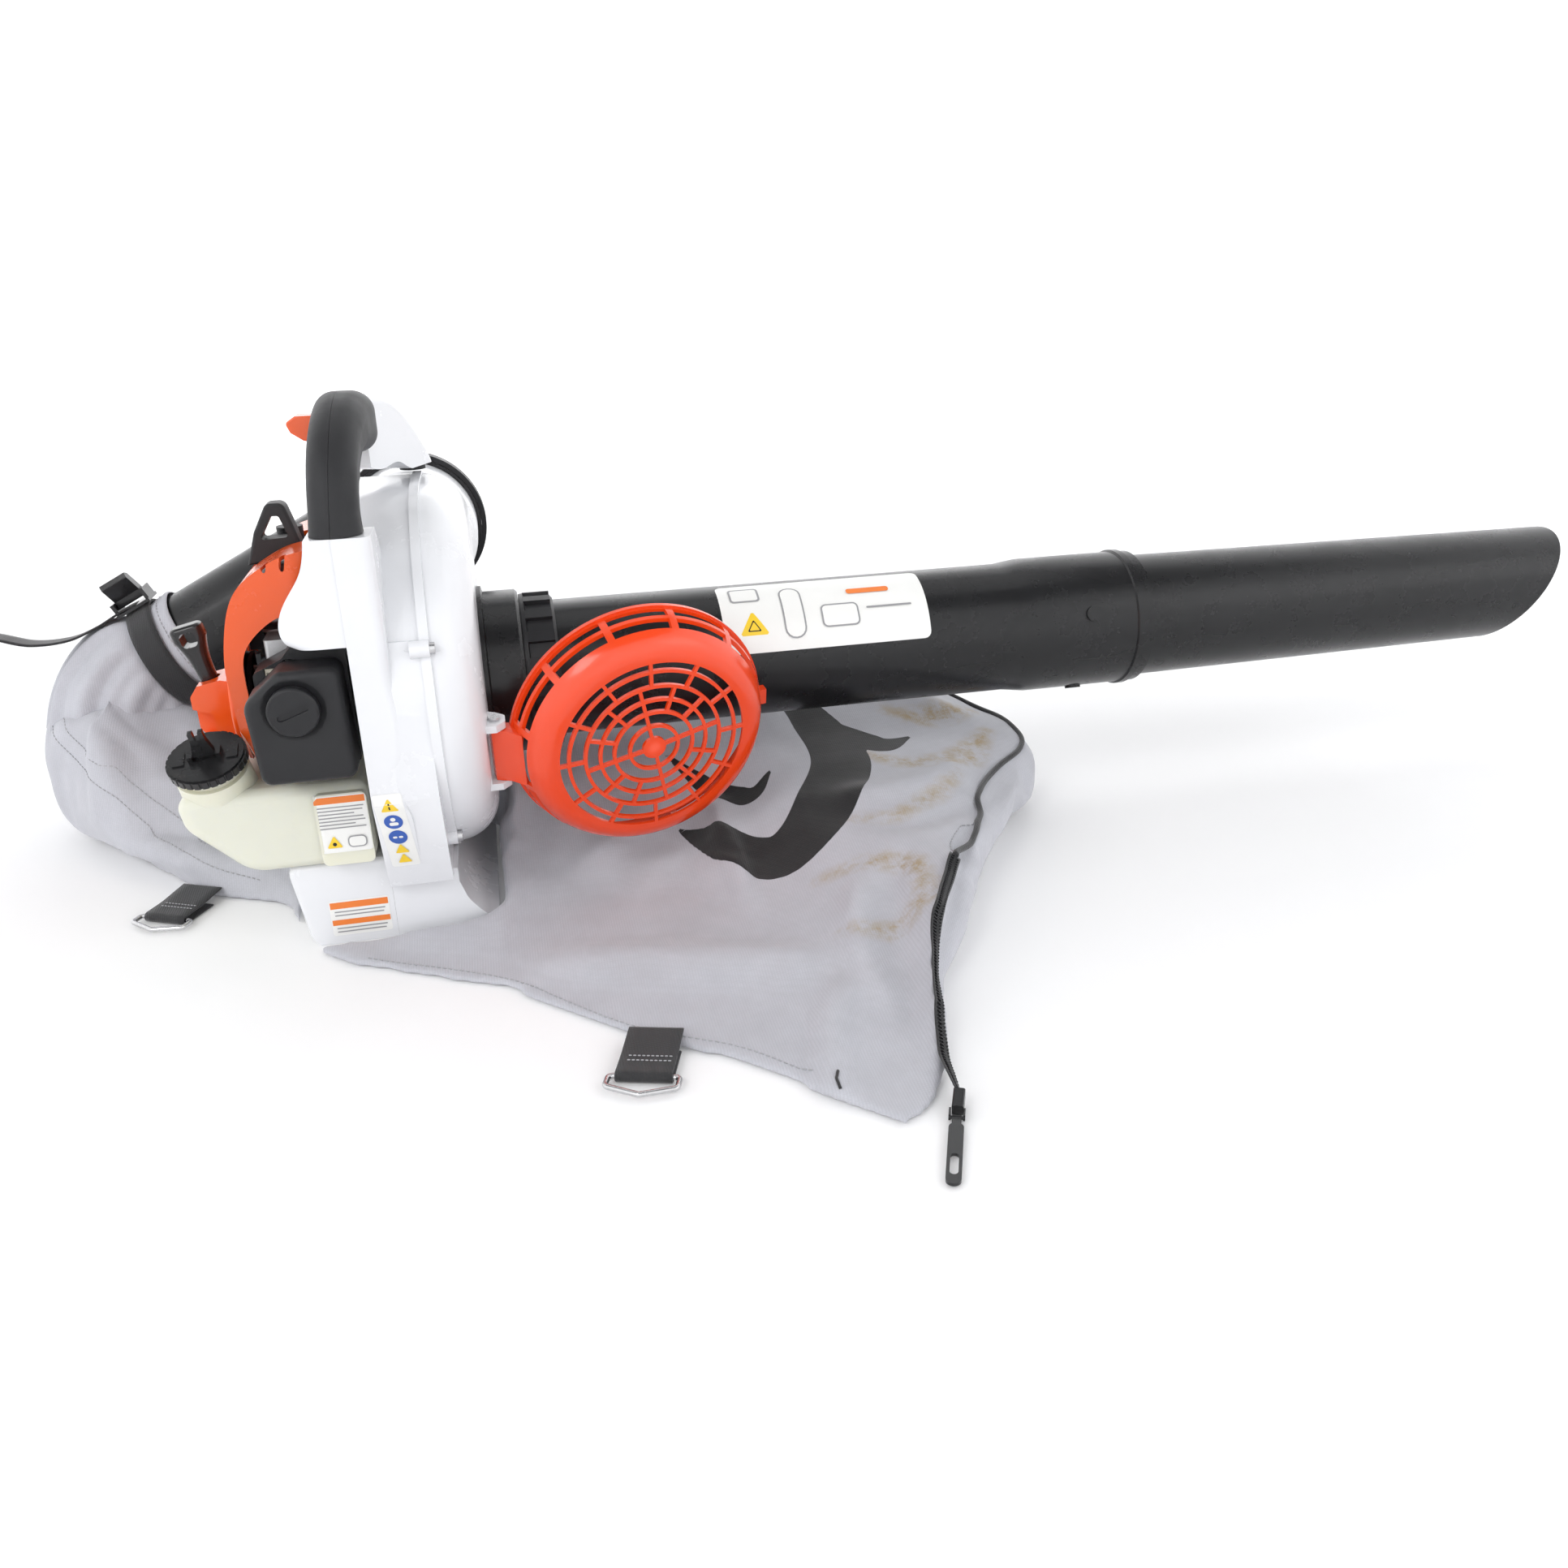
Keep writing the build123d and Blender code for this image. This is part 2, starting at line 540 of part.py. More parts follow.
with BuildPart() as muffler:
    with Locations((CYL_X, 56, 214)):
        Box(50, 36, 46)
    fillet(muffler.edges(), 6)
    with Locations(Location((CYL_X, 36.2, 214), (90, 0, 0))):
        Cylinder(9, 8)
    with Locations(Location((CYL_X - 16, 74, 226), (90, 0, 0))):
        Cylinder(6, 14, mode=Mode.SUBTRACT)
muffler.part.label = "muffler"
export_step(muffler.part, "parts/muffler.step")

with BuildPart() as muffler_guard:
    with Locations((CYL_X - 6, 78, 212)):
        Box(56, 3, 58)
    fillet(muffler_guard.edges().filter_by(Axis.Y), 8)
    with BuildSketch(Plane.XZ.offset(-76)):
        with Locations((CYL_X, 206)):
            with GridLocations(0, 8, 1, 5):
                SlotOverall(36, 4)
        with Locations((CYL_X - 16, 232)):
            Circle(5.5)
    extrude(amount=-8, mode=Mode.SUBTRACT)
muffler_guard.part.label = "muffler_guard"
export_step(muffler_guard.part, "parts/muffler_guard.step")

# ------------------------------------------------- shroud and recoil starter
SHROUD_FRONT, SHROUD_BACK = -66.0, 62.0
SHROUD_BASE = 128.0
SHROUD_X = -82.0        # left wall of the shroud, which carries the recoil starter

# The filler cap leans out beside the shroud.
CAP_R = 25.0
cap_dir = Vector(-0.09, -0.37, 0.92).normalized()
cap_centre = Vector(-99, -82, 136)
cap_plane = Plane(origin=cap_centre, x_dir=(1, 0, 0.098), z_dir=cap_dir)


def shroud_body(inset, front, back, shoulder):
    """Arched engine cover, its front and back shoulders rounded."""
    with BuildPart() as body:
        with BuildSketch(Plane.XZ.offset(-front)):
            with BuildLine():
                Spline(
                    (SHROUD_X + inset, 186), (SHROUD_X + 4 + inset, 216), (-66 + inset / 2, 243),
                    (-44, 258 - inset), (-14, 264 - inset),
                    tangents=[(0, 1), (1, 0.05)],
                )
                Polyline(
                    (-14, 264 - inset), (-14, SHROUD_BASE), (SHROUD_X + 3 + inset, SHROUD_BASE),
                    (SHROUD_X + inset, 186),
                )
            make_face()
        extrude(amount=-(back - front))
        for side in (0, -1):
            rim = body.faces().filter_by(Axis.Y).sort_by(Axis.Y)[side]
            arch = rim.edges().sort_by(SortBy.LENGTH)[-1]
            fillet(arch, shoulder)
    return body.part


shroud_outside = shroud_body(0, SHROUD_FRONT, SHROUD_BACK, 20)
shroud_inside = shroud_body(WALL, SHROUD_FRONT + WALL, SHROUD_BACK - WALL, 18)
with BuildPart() as engine_shroud:
    add(shroud_outside)
    add(shroud_inside, mode=Mode.SUBTRACT)
    # arched opening towards the air filter
    with BuildSketch(Plane.XZ.offset(-SHROUD_FRONT + 1)) as arch_opening:
        with BuildLine():
            Spline((-71, 178), (-67, 204), (-50, 220), (-20, 224), tangents=[(0, 1), (1, 0)])
            Polyline((-20, 224), (-13, 224), (-13, SHROUD_BASE - 1), (-69, SHROUD_BASE - 1), (-71, 178))
        make_face()
    extrude(amount=-30, mode=Mode.SUBTRACT)
    # louvres on the front shoulder
    for level in range(3):
        louvre = Plane(origin=(-58 + 11 * level, -60, 250), x_dir=(1, 0, 0.25), z_dir=(0, -0.5, 0.85))
        with BuildSketch(louvre):
            SlotOverall(9, 3, rotation=60)
        extrude(amount=16, both=True, mode=Mode.SUBTRACT)
    # opening for the plug boot, exhaust side and starter
    with Locations((CYL_X - 6, -6, 262)):
        Box(44, 42, 40, mode=Mode.SUBTRACT)
    with Locations((CYL_X, SHROUD_BACK, 200)):
        Box(58, 50, 84, mode=Mode.SUBTRACT)
    with BuildSketch(cap_plane.offset(-60)):
        Circle(CAP_R + 3)
    extrude(amount=90, mode=Mode.SUBTRACT)
    with Locations(Location((SHROUD_X, 0, AXIS_Z), (0, 90, 0))):
        Cylinder(40, 12, mode=Mode.SUBTRACT)
engine_shroud.part.label = "engine_shroud"
export_step(engine_shroud.part, "parts/engine_shroud.step")

GRIP_PULL = Vector(-0.225, 0, 0.974).normalized()
ROPE_EXIT = Vector(-101, -24, 174)
ROPE_R = 1.7
rope_plane = Plane(origin=ROPE_EXIT, x_dir=(0, 1, 0), z_dir=GRIP_PULL)
DRUM_R = 27.0           # where the rope winds

with BuildPart() as starter_housing:
    with BuildSketch(Plane.YZ.offset(SHROUD_X - 4.4)) as plate:
        with Locations((0, AXIS_Z)):
            Circle(54)
        with Locations((0, SHROUD_BASE - 40)):
            Rectangle(140, 80, mode=Mode.SUBTRACT)
        with Locations((0, AXIS_Z)):
            with PolarLocations(36, 14):
                SlotOverall(18, 4, mode=Mode.SUBTRACT)
    extrude(amount=4)
    fillet(starter_housing.faces().sort_by(Axis.X)[0].edges().sort_by(SortBy.LENGTH)[-1], 2.5)
    with BuildSketch(Plane.YZ.offset(SHROUD_X - 0.4)):
        with Locations((0, AXIS_Z)):
            Circle(SHAFT_R)
    extrude(amount=7.6)
    # rope guide lug
    with BuildSketch(Plane.XZ.offset(40)) as lug:
        with BuildLine():
            Polyline(
                (-83, 132), (-104, 132), (-112, 143), (-112, 168), (-107, 175),
                (-92, 178), (-83, 176), close=True,
            )
        make_face()
        fillet(lug.vertices().group_by(Axis.X)[0], 3)
    extrude(amount=-30)
    with BuildSketch(Plane.XZ.offset(41)):
        with BuildLine():
            Polyline((-100, 139), (-113, 139), (-113, 160), (-100, 155), close=True)
        make_face()
    extrude(amount=-12, mode=Mode.SUBTRACT)
    with BuildSketch(rope_plane.offset(-34)):
        Circle(ROPE_R + FREE)
    extrude(amount=50, mode=Mode.SUBTRACT)
    with BuildSketch(rope_plane.offset(-3)):
        Circle(7.4)
    extrude(amount=30, mode=Mode.SUBTRACT)
starter_housing.part.label = "starter_housing"
export_step(starter_housing.part, "parts/starter_housing.step")

with BuildPart() as starter_pulley:
    with BuildSketch(Plane.XZ):
        with BuildLine():
            Polyline(*[(x, AXIS_Z + r) for x, r in (
                (-81, 22), (-81, 30), (-80.2, 30), (-79, DRUM_R), (-77.6, 30), (-75, 30),
                (-75, SHAFT_R + RUN), (-78.6, SHAFT_R + RUN), (-78.6, 22),
            )], close=True)
        make_face()
    revolve(axis=Axis((0, 0, AXIS_Z), (1, 0, 0)))
starter_pulley.part.label = "starter_pulley"
export_step(starter_pulley.part, "parts/starter_pulley.step")

SPRING_TURNS = 5
SPRING_STRIP = 0.7
with BuildPart() as rewind_spring:
    with BuildSketch(Plane(origin=(-81.6, 0, AXIS_Z), x_dir=(0, 1, 0), z_dir=(1, 0, 0))):
        with BuildLine():
            for half in range(2 * SPRING_TURNS):
                CenterArc((0.6 * (half % 2), 0), 8 + 1.2 * half, 180 * half, 180)
        trace(line_width=SPRING_STRIP)
    extrude(amount=2.6)
rewind_spring.part.label = "rewind_spring"
export_step(rewind_spring.part, "parts/rewind_spring.step")

with BuildPart() as starter_rope:
    with BuildSketch(rope_plane.offset(-30)):
        Circle(ROPE_R)
    extrude(amount=36)
starter_rope.part.label = "starter_rope"
export_step(starter_rope.part, "parts/starter_rope.step")

with BuildPart() as starter_grip:
    with BuildSketch(rope_plane.offset(-1)):
        Circle(6.2)
    with BuildSketch(rope_plane.offset(20)):
        RectangleRounded(14, 14, 5)
    with BuildSketch(rope_plane.offset(31)):
        RectangleRounded(14, 21, 5)
    loft()
    with BuildSketch(rope_plane.offset(31)):
        RectangleRounded(14, 21, 5)
    extrude(amount=9)
    fillet(starter_grip.faces().sort_by(Axis.Z)[-1].edges(), 3)
    with BuildSketch(Plane.XZ.offset(40)):
        with Locations((ROPE_EXIT.X + GRIP_PULL.X * 31, ROPE_EXIT.Z + GRIP_PULL.Z * 31)):
            RectangleRounded(10, 10, 3, rotation=13)
    extrude(amount=-40, mode=Mode.SUBTRACT)
    with BuildSketch(rope_plane.offset(-2)):
        Circle(ROPE_R)
    extrude(amount=8, mode=Mode.SUBTRACT)
starter_grip.part.label = "starter_grip"
export_step(starter_grip.part, "parts/starter_grip.step")

# -------------------------------------------------------- carburettor, filter
FILTER_X0, FILTER_X1 = -60.0, -3.0
COVER_FACE, COVER_BACK = -126.0, -98.6
CARB_Z = 198.0
KNOB = Vector(-35, COVER_FACE, 179)

with BuildPart() as carburetor:
    with Locations((CYL_X, -56, CARB_Z - 6)):
        Box(36, 24, 34)
    fillet(carburetor.edges().filter_by(Axis.Z), 3)
    with Locations(Location((CYL_X, -39.1, CARB_Z), (90, 0, 0))):
        Cylinder(9, 13.8)
        Cylinder(5, 80, mode=Mode.SUBTRACT)
    # socket of the primer bulb
    with Locations((CYL_X, -56, CARB_Z - 23)):
        Cylinder(9.4, 5.4, align=(Align.CENTER, Align.CENTER, Align.MIN), mode=Mode.SUBTRACT)
    with Locations((CYL_X + 12, -56, CARB_Z + 12)):
        Cylinder(4, 4)
carburetor.part.label = "carburetor"
export_step(carburetor.part, "parts/carburetor.step")

with BuildPart() as primer_bulb:
    with Locations((CYL_X, -56, CARB_Z - 24)):
        Cylinder(9, 2, align=(Align.CENTER, Align.CENTER, Align.MIN))
        Sphere(8, arc_size1=-90, arc_size2=0, align=(Align.CENTER, Align.CENTER, Align.MAX))
primer_bulb.part.label = "primer_bulb"
export_step(primer_bulb.part, "parts/primer_bulb.step")

with BuildPart() as filter_housing:
    with BuildSketch(Plane.XZ.offset(98)) as back_plate:
        with BuildLine():
            Polyline(
                (-60, 133), (-3.4, 133), (-3.4, 213), (-34, 213), (-42, 204), (-60, 196), close=True,
            )
        make_face()
        fillet(back_plate.vertices(), 3)
    extrude(amount=-26)
    with Locations((CYL_X + 4, -92, 174)):
        Box(38, 13, 50, mode=Mode.SUBTRACT)
    with Locations(Location((CYL_X, -80, CARB_Z), (90, 0, 0))):
        Cylinder(6, 60, mode=Mode.SUBTRACT)
filter_housing.part.label = "filter_housing"
export_step(filter_housing.part, "parts/filter_housing.step")

PLEATS = 12
with BuildPart() as air_filter:
    with Locations((CYL_X + 4, -91.5, 174)):
        Box(37, 11, 49)
    with BuildSketch(Plane.XZ.offset(99)):
        with Locations((CYL_X + 4, 174)):
            with GridLocations(37 / PLEATS, 0, PLEATS, 1):
                Rectangle(1.4, 44)
    extrude(amount=-4, mode=Mode.SUBTRACT)
air_filter.part.label = "air_filter"
export_step(air_filter.part, "parts/air_filter.step")

with BuildPart() as filter_cover:
    with BuildSketch(Plane.XZ.offset(-COVER_BACK)) as cover_side:
        with BuildLine():
            Polyline((-61, 131), (-3.6, 131), (-6, 203), (-42, 203), (-64.5, 184), close=True)
        make_face()
        fillet(cover_side.vertices().sort_by(Axis.X)[0], 12)
        fillet(cover_side.vertices().sort_by(Axis.Y)[-2:], 7)
        fillet(cover_side.vertices().sort_by(Axis.Y)[:2], 7)
    extrude(amount=COVER_BACK - COVER_FACE)
    fillet(filter_cover.faces().sort_by(Axis.Y)[0].edges(), 5)
    offset(amount=-2.4, openings=filter_cover.faces().sort_by(Axis.Y)[-1])
    # dish around the screw knob
    with Locations(KNOB + Vector(0, 1.6, 0)):
        Cylinder(19, 2.2, rotation=(90, 0, 0))
    with Locations(KNOB + Vector(0, -40, 0)):
        Sphere(44.5, mode=Mode.SUBTRACT)
    with Locations(KNOB):
        Cylinder(2.6, 30, rotation=(90, 0, 0), mode=Mode.SUBTRACT)
filter_cover.part.label = "filter_cover"
export_step(filter_cover.part, "parts/filter_cover.step")

with BuildPart() as filter_knob:
    with Locations(Location((KNOB.X, COVER_FACE + 1.2, KNOB.Z), (90, 0, 0))):
        Cylinder(15.5, 7, align=(Align.CENTER, Align.CENTER, Align.MIN))
    fillet(filter_knob.faces().sort_by(Axis.Y)[0].edges(), 2)
    with Locations(Location((KNOB.X, COVER_FACE + 1.2, KNOB.Z), (-90, 0, 0))):
        Cylinder(2.6 - RUN, 9, align=(Align.CENTER, Align.CENTER, Align.MIN))
    with BuildSketch(Plane.XZ.offset(-COVER_FACE + 4.6)):
        with Locations((KNOB.X, KNOB.Z)):
            SlotOverall(20, 4, rotation=20)
    extrude(amount=3, mode=Mode.SUBTRACT)
filter_knob.part.label = "filter_knob"
export_step(filter_knob.part, "parts/filter_knob.step")

with BuildPart() as choke_lever:
    with Locations(Location((CYL_X - 21.4, -60, CARB_Z - 4), (0, 90, 0))):
        Cylinder(3, 6)
    with Locations((CYL_X - 23, -60, CARB_Z - 6)):
        Box(3, 6, 15)
choke_lever.part.label = "choke_lever"
export_step(choke_lever.part, "parts/choke_lever.step")

# ---------------------------------------------------------------- fuel tank
TANK_FRONT, TANK_BACK = -97.0, 58.0
NECK_R, NECK_BORE = 20.0, 16.0


def tank_body(inset):
    """Tank with a bowl-shaped left end."""
    with BuildPart() as body:
        with BuildSketch(Plane.XZ.offset(-TANK_FRONT - inset)) as side:
            with BuildLine():
                Polyline(
                    (-3.5 - inset, 60.5 + inset), (-3.5 - inset, 118 - inset), (-123 + inset, 118 - inset),
                    (-119 + inset, 95 + inset / 2), (-84, 60.5 + inset), close=True,
                )
            make_face()
            bowl = side.vertices().sort_by(Axis.X)[:3].sort_by(Axis.Y)
            fillet(bowl[0], 26)
            fillet(side.vertices().filter_by_position(Axis.Y, 90, 98), 18)
            fillet(side.vertices().filter_by_position(Axis.Y, 115 - inset, 119), 9.5 - inset)
            fillet(side.vertices().filter_by_position(Axis.X, -6, 0).sort_by(Axis.Y)[0], 9.5 - inset)
        extrude(amount=-(TANK_BACK - TANK_FRONT - 2 * inset))
        fillet(body.faces().filter_by(Axis.Y).sort_by(Axis.Y)[0].edges(), 9 - inset)
    return body.part


tank_outside = tank_body(0)
tank_inside = tank_body(2.2)
with BuildPart() as fuel_tank:
    add(tank_outside)
    # filler neck leaning to the operator
    with BuildSketch(cap_plane.offset(-40)):
        Circle(NECK_R + 4)
    with BuildSketch(cap_plane.offset(-6)):
        Circle(NECK_R + 3)
    loft()
    with BuildSketch(cap_plane.offset(-6)):
        Circle(NECK_R)
    extrude(amount=6)
    add(tank_inside, mode=Mode.SUBTRACT)
    with BuildSketch(cap_plane.offset(-52)):
        Circle(NECK_BORE)
    extrude(amount=60, mode=Mode.SUBTRACT)
    # raised pad of the front block
    with BuildSketch(Plane.XZ.offset(-TANK_FRONT + 4)):
        with Locations((-21, 88)):
            RectangleRounded(33, 50, 4)
    extrude(amount=-5)
fuel_tank.part.label = "fuel_tank"
export_step(fuel_tank.part, "parts/fuel_tank.step")

with BuildPart() as fuel_cap:
    with BuildSketch(cap_plane.offset(0.2)):
        Circle(CAP_R)
        with PolarLocations(CAP_R, 30):
            Circle(0.8, mode=Mode.SUBTRACT)
    extrude(amount=5)
    with BuildSketch(cap_plane.offset(5.2)):
        Circle(CAP_R - 1.5)
    extrude(amount=1)
    fillet(fuel_cap.faces().sort_by(Axis.Z)[-1].edges(), 0.6)
    # ears of the tab and a central boss
    with BuildSketch(cap_plane.offset(6)):
        with Locations((-8.6, 0), (8.6, 0)):
            Rectangle(3, 9)
    extrude(amount=4.4)
    with BuildSketch(cap_plane.offset(6)):
        Rectangle(40, 12)
        Rectangle(26, 12, mode=Mode.SUBTRACT)
    extrude(amount=1.2)
    # skirt that plugs the neck
    with BuildSketch(cap_plane.offset(-9)):
        Circle(NECK_BORE - FREE)
        Circle(NECK_BORE - 3, mode=Mode.SUBTRACT)
    extrude(amount=9.4)
    with BuildSketch(Plane(
        origin=cap_centre + cap_dir * (6 + 2.2), x_dir=cap_plane.y_dir, z_dir=cap_plane.x_dir
    ).offset(-14)):
        Circle(1.5 + RUN)
    extrude(amount=28, mode=Mode.SUBTRACT)
fuel_cap.part.label = "fuel_cap"
export_step(fuel_cap.part, "parts/fuel_cap.step")

tab_plane = Plane(
    origin=cap_centre + cap_dir * (6 + 2.2), x_dir=cap_plane.x_dir, z_dir=-cap_plane.y_dir
)
with BuildPart() as fuel_cap_tab:
    with BuildSketch(tab_plane.offset(-2)) as tab_face:
        with BuildLine():
            Polyline(
                (-6.6, -0.6), (6.6, -0.6), (6.6, 3), (4.6, 12), (4.6, 19), (1.6, 19), (1.6, 13),
                (-1.6, 13), (-1.6, 19), (-4.6, 19), (-4.6, 12), (-6.6, 3), close=True,
            )
        make_face()
    extrude(amount=4)
    fillet(fuel_cap_tab.edges().sort_by(Axis(tab_plane.origin, cap_dir))[-8:], 0.6)
    with BuildSketch(Plane(
        origin=tab_plane.origin, x_dir=cap_plane.y_dir, z_dir=cap_plane.x_dir
    ).offset(-10)):
        Circle(1.5)
    extrude(amount=20)
fuel_cap_tab.part.label = "fuel_cap_tab"
export_step(fuel_cap_tab.part, "parts/fuel_cap_tab.step")

# ------------------------------------------------------------------- handle
# centre (x, y, z), direction (y, z), width and depth of the grip along its arch
GRIP_STATIONS = (
    ((4, -112, 281.4), (0, 1.0), 31, 33),
    ((5, -107, 302), (0.3, 0.95), 29, 32),
    ((7, -91, 323), (0.72, 0.7), 30, 32),
    ((9.5, -62, 336), (0.97, 0.22), 32, 34),
    ((11, -32, 337), (1.0, -0.06), 35, 38),
    ((12, -14, 335), (1.0, -0.1), 34, 36),
)
TRIGGER_X, TRIGGER_Y, TRIGGER_Z = 9.0, -31.0, 327.0
LEVER_X, LEVER_Y, LEVER_Z = -8.4, -26.0, 334.0
with BuildPart() as grip_body:
    for centre, (dir_y, dir_z), width, depth in GRIP_STATIONS:
        with BuildSketch(Plane(origin=centre, x_dir=(1, 0, 0), z_dir=(0, dir_y, dir_z))):
            RectangleRounded(width, depth, 13)
    loft()
    fillet(grip_body.faces().sort_by(Axis.Y)[-1].edges(), 9)
    # slot for the trigger
    with Locations((TRIGGER_X, -54, 318)):
        Box(18, 62, 33, mode=Mode.SUBTRACT)
    # pivots of the trigger and the setting lever
    with Locations(Location((TRIGGER_X, TRIGGER_Y, TRIGGER_Z), (0, 90, 0))):
        Cylinder(2 + RUN, 25, mode=Mode.SUBTRACT)
    with Locations(Location((LEVER_X, LEVER_Y, LEVER_Z), (0, 90, 0))):
        Cylinder(3 + RUN, 16, mode=Mode.SUBTRACT)

seam_plane = Plane(origin=(2, 0, 281), x_dir=(0, 1, 0), z_dir=(1, 0, -0.09))
with BuildPart() as grip_left:
    add(grip_body)
    split(bisect_by=seam_plane.offset(-SEAM_GAP), keep=Keep.BOTTOM)
grip_left.part.label = "grip_left"
export_step(grip_left.part, "parts/grip_left.step")

with BuildPart() as grip_right:
    add(grip_body)
    split(bisect_by=seam_plane.offset(SEAM_GAP), keep=Keep.TOP)
grip_right.part.label = "grip_right"
export_step(grip_right.part, "parts/grip_right.step")

with BuildPart() as throttle_trigger:
    with BuildSketch(Plane.YZ.offset(TRIGGER_X - 8.2)) as trigger_side:
        with BuildLine():
            Polyline(
                (-34, 330), (-27.5, 327), (-33, 318), (-58, 305), (-76, 304), (-78, 308), (-60, 317),
                close=True,
            )
        make_face()
        fillet(trigger_side.vertices(), 1.5)
    extrude(amount=16.4)
    with Locations(Location((TRIGGER_X, TRIGGER_Y, TRIGGER_Z), (0, 90, 0))):
        Cylinder(2, 23)
throttle_trigger.part.label = "throttle_trigger"
export_step(throttle_trigger.part, "parts/throttle_trigger.step")

with BuildPart() as setting_lever:
    with BuildSketch(Plane.XZ.offset(34)) as lever_face:
        with BuildLine():
            Polyline(
                (LEVER_X, 342), (-19, 342), (-25.5, 338), (-23, 332), (-16, 327), (LEVER_X, 325),
                close=True,
            )
        make_face()
    extrude(amount=-16)
    fillet(setting_lever.edges().group_by(Axis.X)[0], 2.4)
    fillet(setting_lever.faces().sort_by(Axis.Y)[0].edges(), 1)
    with Locations(Location((LEVER_X, LEVER_Y, LEVER_Z), (0, 90, 0))):
        Cylinder(3, 6, align=(Align.CENTER, Align.CENTER, Align.MIN))
setting_lever.part.label = "setting_lever"
export_step(setting_lever.part, "parts/setting_lever.step")

ARM_FOOT_Z = 297.0
arm_plane = Plane(origin=(12, -10, 0), x_dir=(0.40, 0.92, 0), z_dir=(0.92, -0.40, 0))
with BuildPart() as handle_arm:
    with BuildSketch(arm_plane.offset(-12)) as arm_side:
        with BuildLine():
            Spline((-4, 351), (22, 350), (52, 338), (78, 314), (90, ARM_FOOT_Z), tangents=[(1, 0.05), (0.5, -1)])
            Line((90, ARM_FOOT_Z), (54, ARM_FOOT_Z))
            Spline((54, ARM_FOOT_Z), (36, 304), (14, 303), (-4, 306), tangents=[(-1, 0.2), (-1, 0.3)])
            Line((-4, 306), (-4, 351))
        make_face()
    extrude(amount=24)
    fillet(handle_arm.edges().filter_by(GeomType.BSPLINE).sort_by(Axis.Z)[-2:], 7)
    add(grip_body, mode=Mode.SUBTRACT)
handle_arm.part.label = "handle_arm"
export_step(handle_arm.part, "parts/handle_arm.step")

with BuildPart() as av_buffer:
    with Locations((43, 60, 293.4)):
        Cylinder(9, ARM_FOOT_Z - 293.6, align=(Align.CENTER, Align.CENTER, Align.MIN))
av_buffer.part.label = "av_buffer"
export_step(av_buffer.part, "parts/av_buffer.step")

with BuildPart() as handle_shell:
    with BuildSketch(Plane.XZ.offset(128.4)) as shell_side:
        with BuildLine():
            Spline(
                (-13.5, 281), (-18.5, 262), (-27.5, 248.5), (-34.5, 234), (-31, 218),
                tangents=[(-0.15, -1), (0.6, -0.8)],
            )
            Polyline((-31, 218), (-27, 216), (SEAM_X, 216), (SEAM_X, 281), (-13.5, 281))
        make_face()
    extrude(amount=-60)
    front = handle_shell.faces().filter_by(Axis.Y).sort_by(Axis.Y)[0]
    fillet(front.edges().sort_by(Axis.X)[0], 6)
    # hollow moulding, open towards the engine
    with BuildSketch(Plane.XZ.offset(123)):
        with BuildLine():
            Spline((-10, 277), (-15, 260), (-23, 246), (-29, 234), (-25, 220), tangents=[(0, -1), (0.6, -0.8)])
            Polyline((-25, 220), (SEAM_X - 3, 220), (SEAM_X - 3, 277), (-10, 277))
        make_face()
    extrude(amount=-60, mode=Mode.SUBTRACT)
handle_shell.part.label = "handle_shell"
export_step(handle_shell.part, "parts/handle_shell.step")

with BuildPart() as foot:
    with BuildSketch(Plane.XZ.offset(-FOOT_Y0)) as foot_side:
        with BuildLine():
            Polyline((SEAM_X, 0), (SEAM_X, 60), (-62, 60), (-63, 52), (-56, 6), (-50, 0), close=True)
        make_face()
        fillet(foot_side.vertices().sort_by(Axis.X)[:2], 6)
    extrude(amount=-(FOOT_Y1 - FOOT_Y0))
    near_face = foot.faces().filter_by(Axis.Y).sort_by(Axis.Y)[0]
    fillet(near_face.edges().sort_by(Axis.Z)[-1], 4)
foot.part.label = "foot"
export_step(foot.part, "parts/foot.step")

# ------------------------------------------------------------- outlet elbow
ELBOW_R = 40.0
ELBOW_WALL = 2.4
ELBOW_BEND = 62.0
run_dir = Vector(-0.89, 0, -0.456).normalized()
bend_point = Vector(DUCT_X, 208, DUCT_Z)
elbow_start = Vector(DUCT_X, DUCT_END_Y + 14, DUCT_Z)
elbow_end = bend_point + run_dir * 252

with BuildPart() as elbow:
    with BuildLine():
        FilletPolyline(elbow_start, bend_point, elbow_end, radius=ELBOW_BEND)
    with BuildSketch(Plane(origin=elbow_start, x_dir=(1, 0, 0), z_dir=(0, 1, 0))):
        Circle(ELBOW_R)
        Circle(ELBOW_R - ELBOW_WALL, mode=Mode.SUBTRACT)
    sweep()
    # cone that slips over the duct
    with BuildSketch(Plane.XY.offset(DUCT_Z)):
        with BuildLine():
            Polyline(*[(DUCT_X + r, y) for r, y in (
                (DUCT_R + FREE, DUCT_END_Y - 14), (DUCT_R + 3, DUCT_END_Y - 14),
                (DUCT_R + 3, DUCT_END_Y + 2), (ELBOW_R, DUCT_END_Y + 16),
                (ELBOW_R - ELBOW_WALL, DUCT_END_Y + 16), (ELBOW_R - ELBOW_WALL, DUCT_END_Y + 12),
                (DUCT_R + FREE, DUCT_END_Y + 0.5),
            )], close=True)
        make_face()
    revolve(axis=Axis((DUCT_X, 0, DUCT_Z), (0, 1, 0)))
elbow.part.label = "elbow"
export_step(elbow.part, "parts/elbow.step")

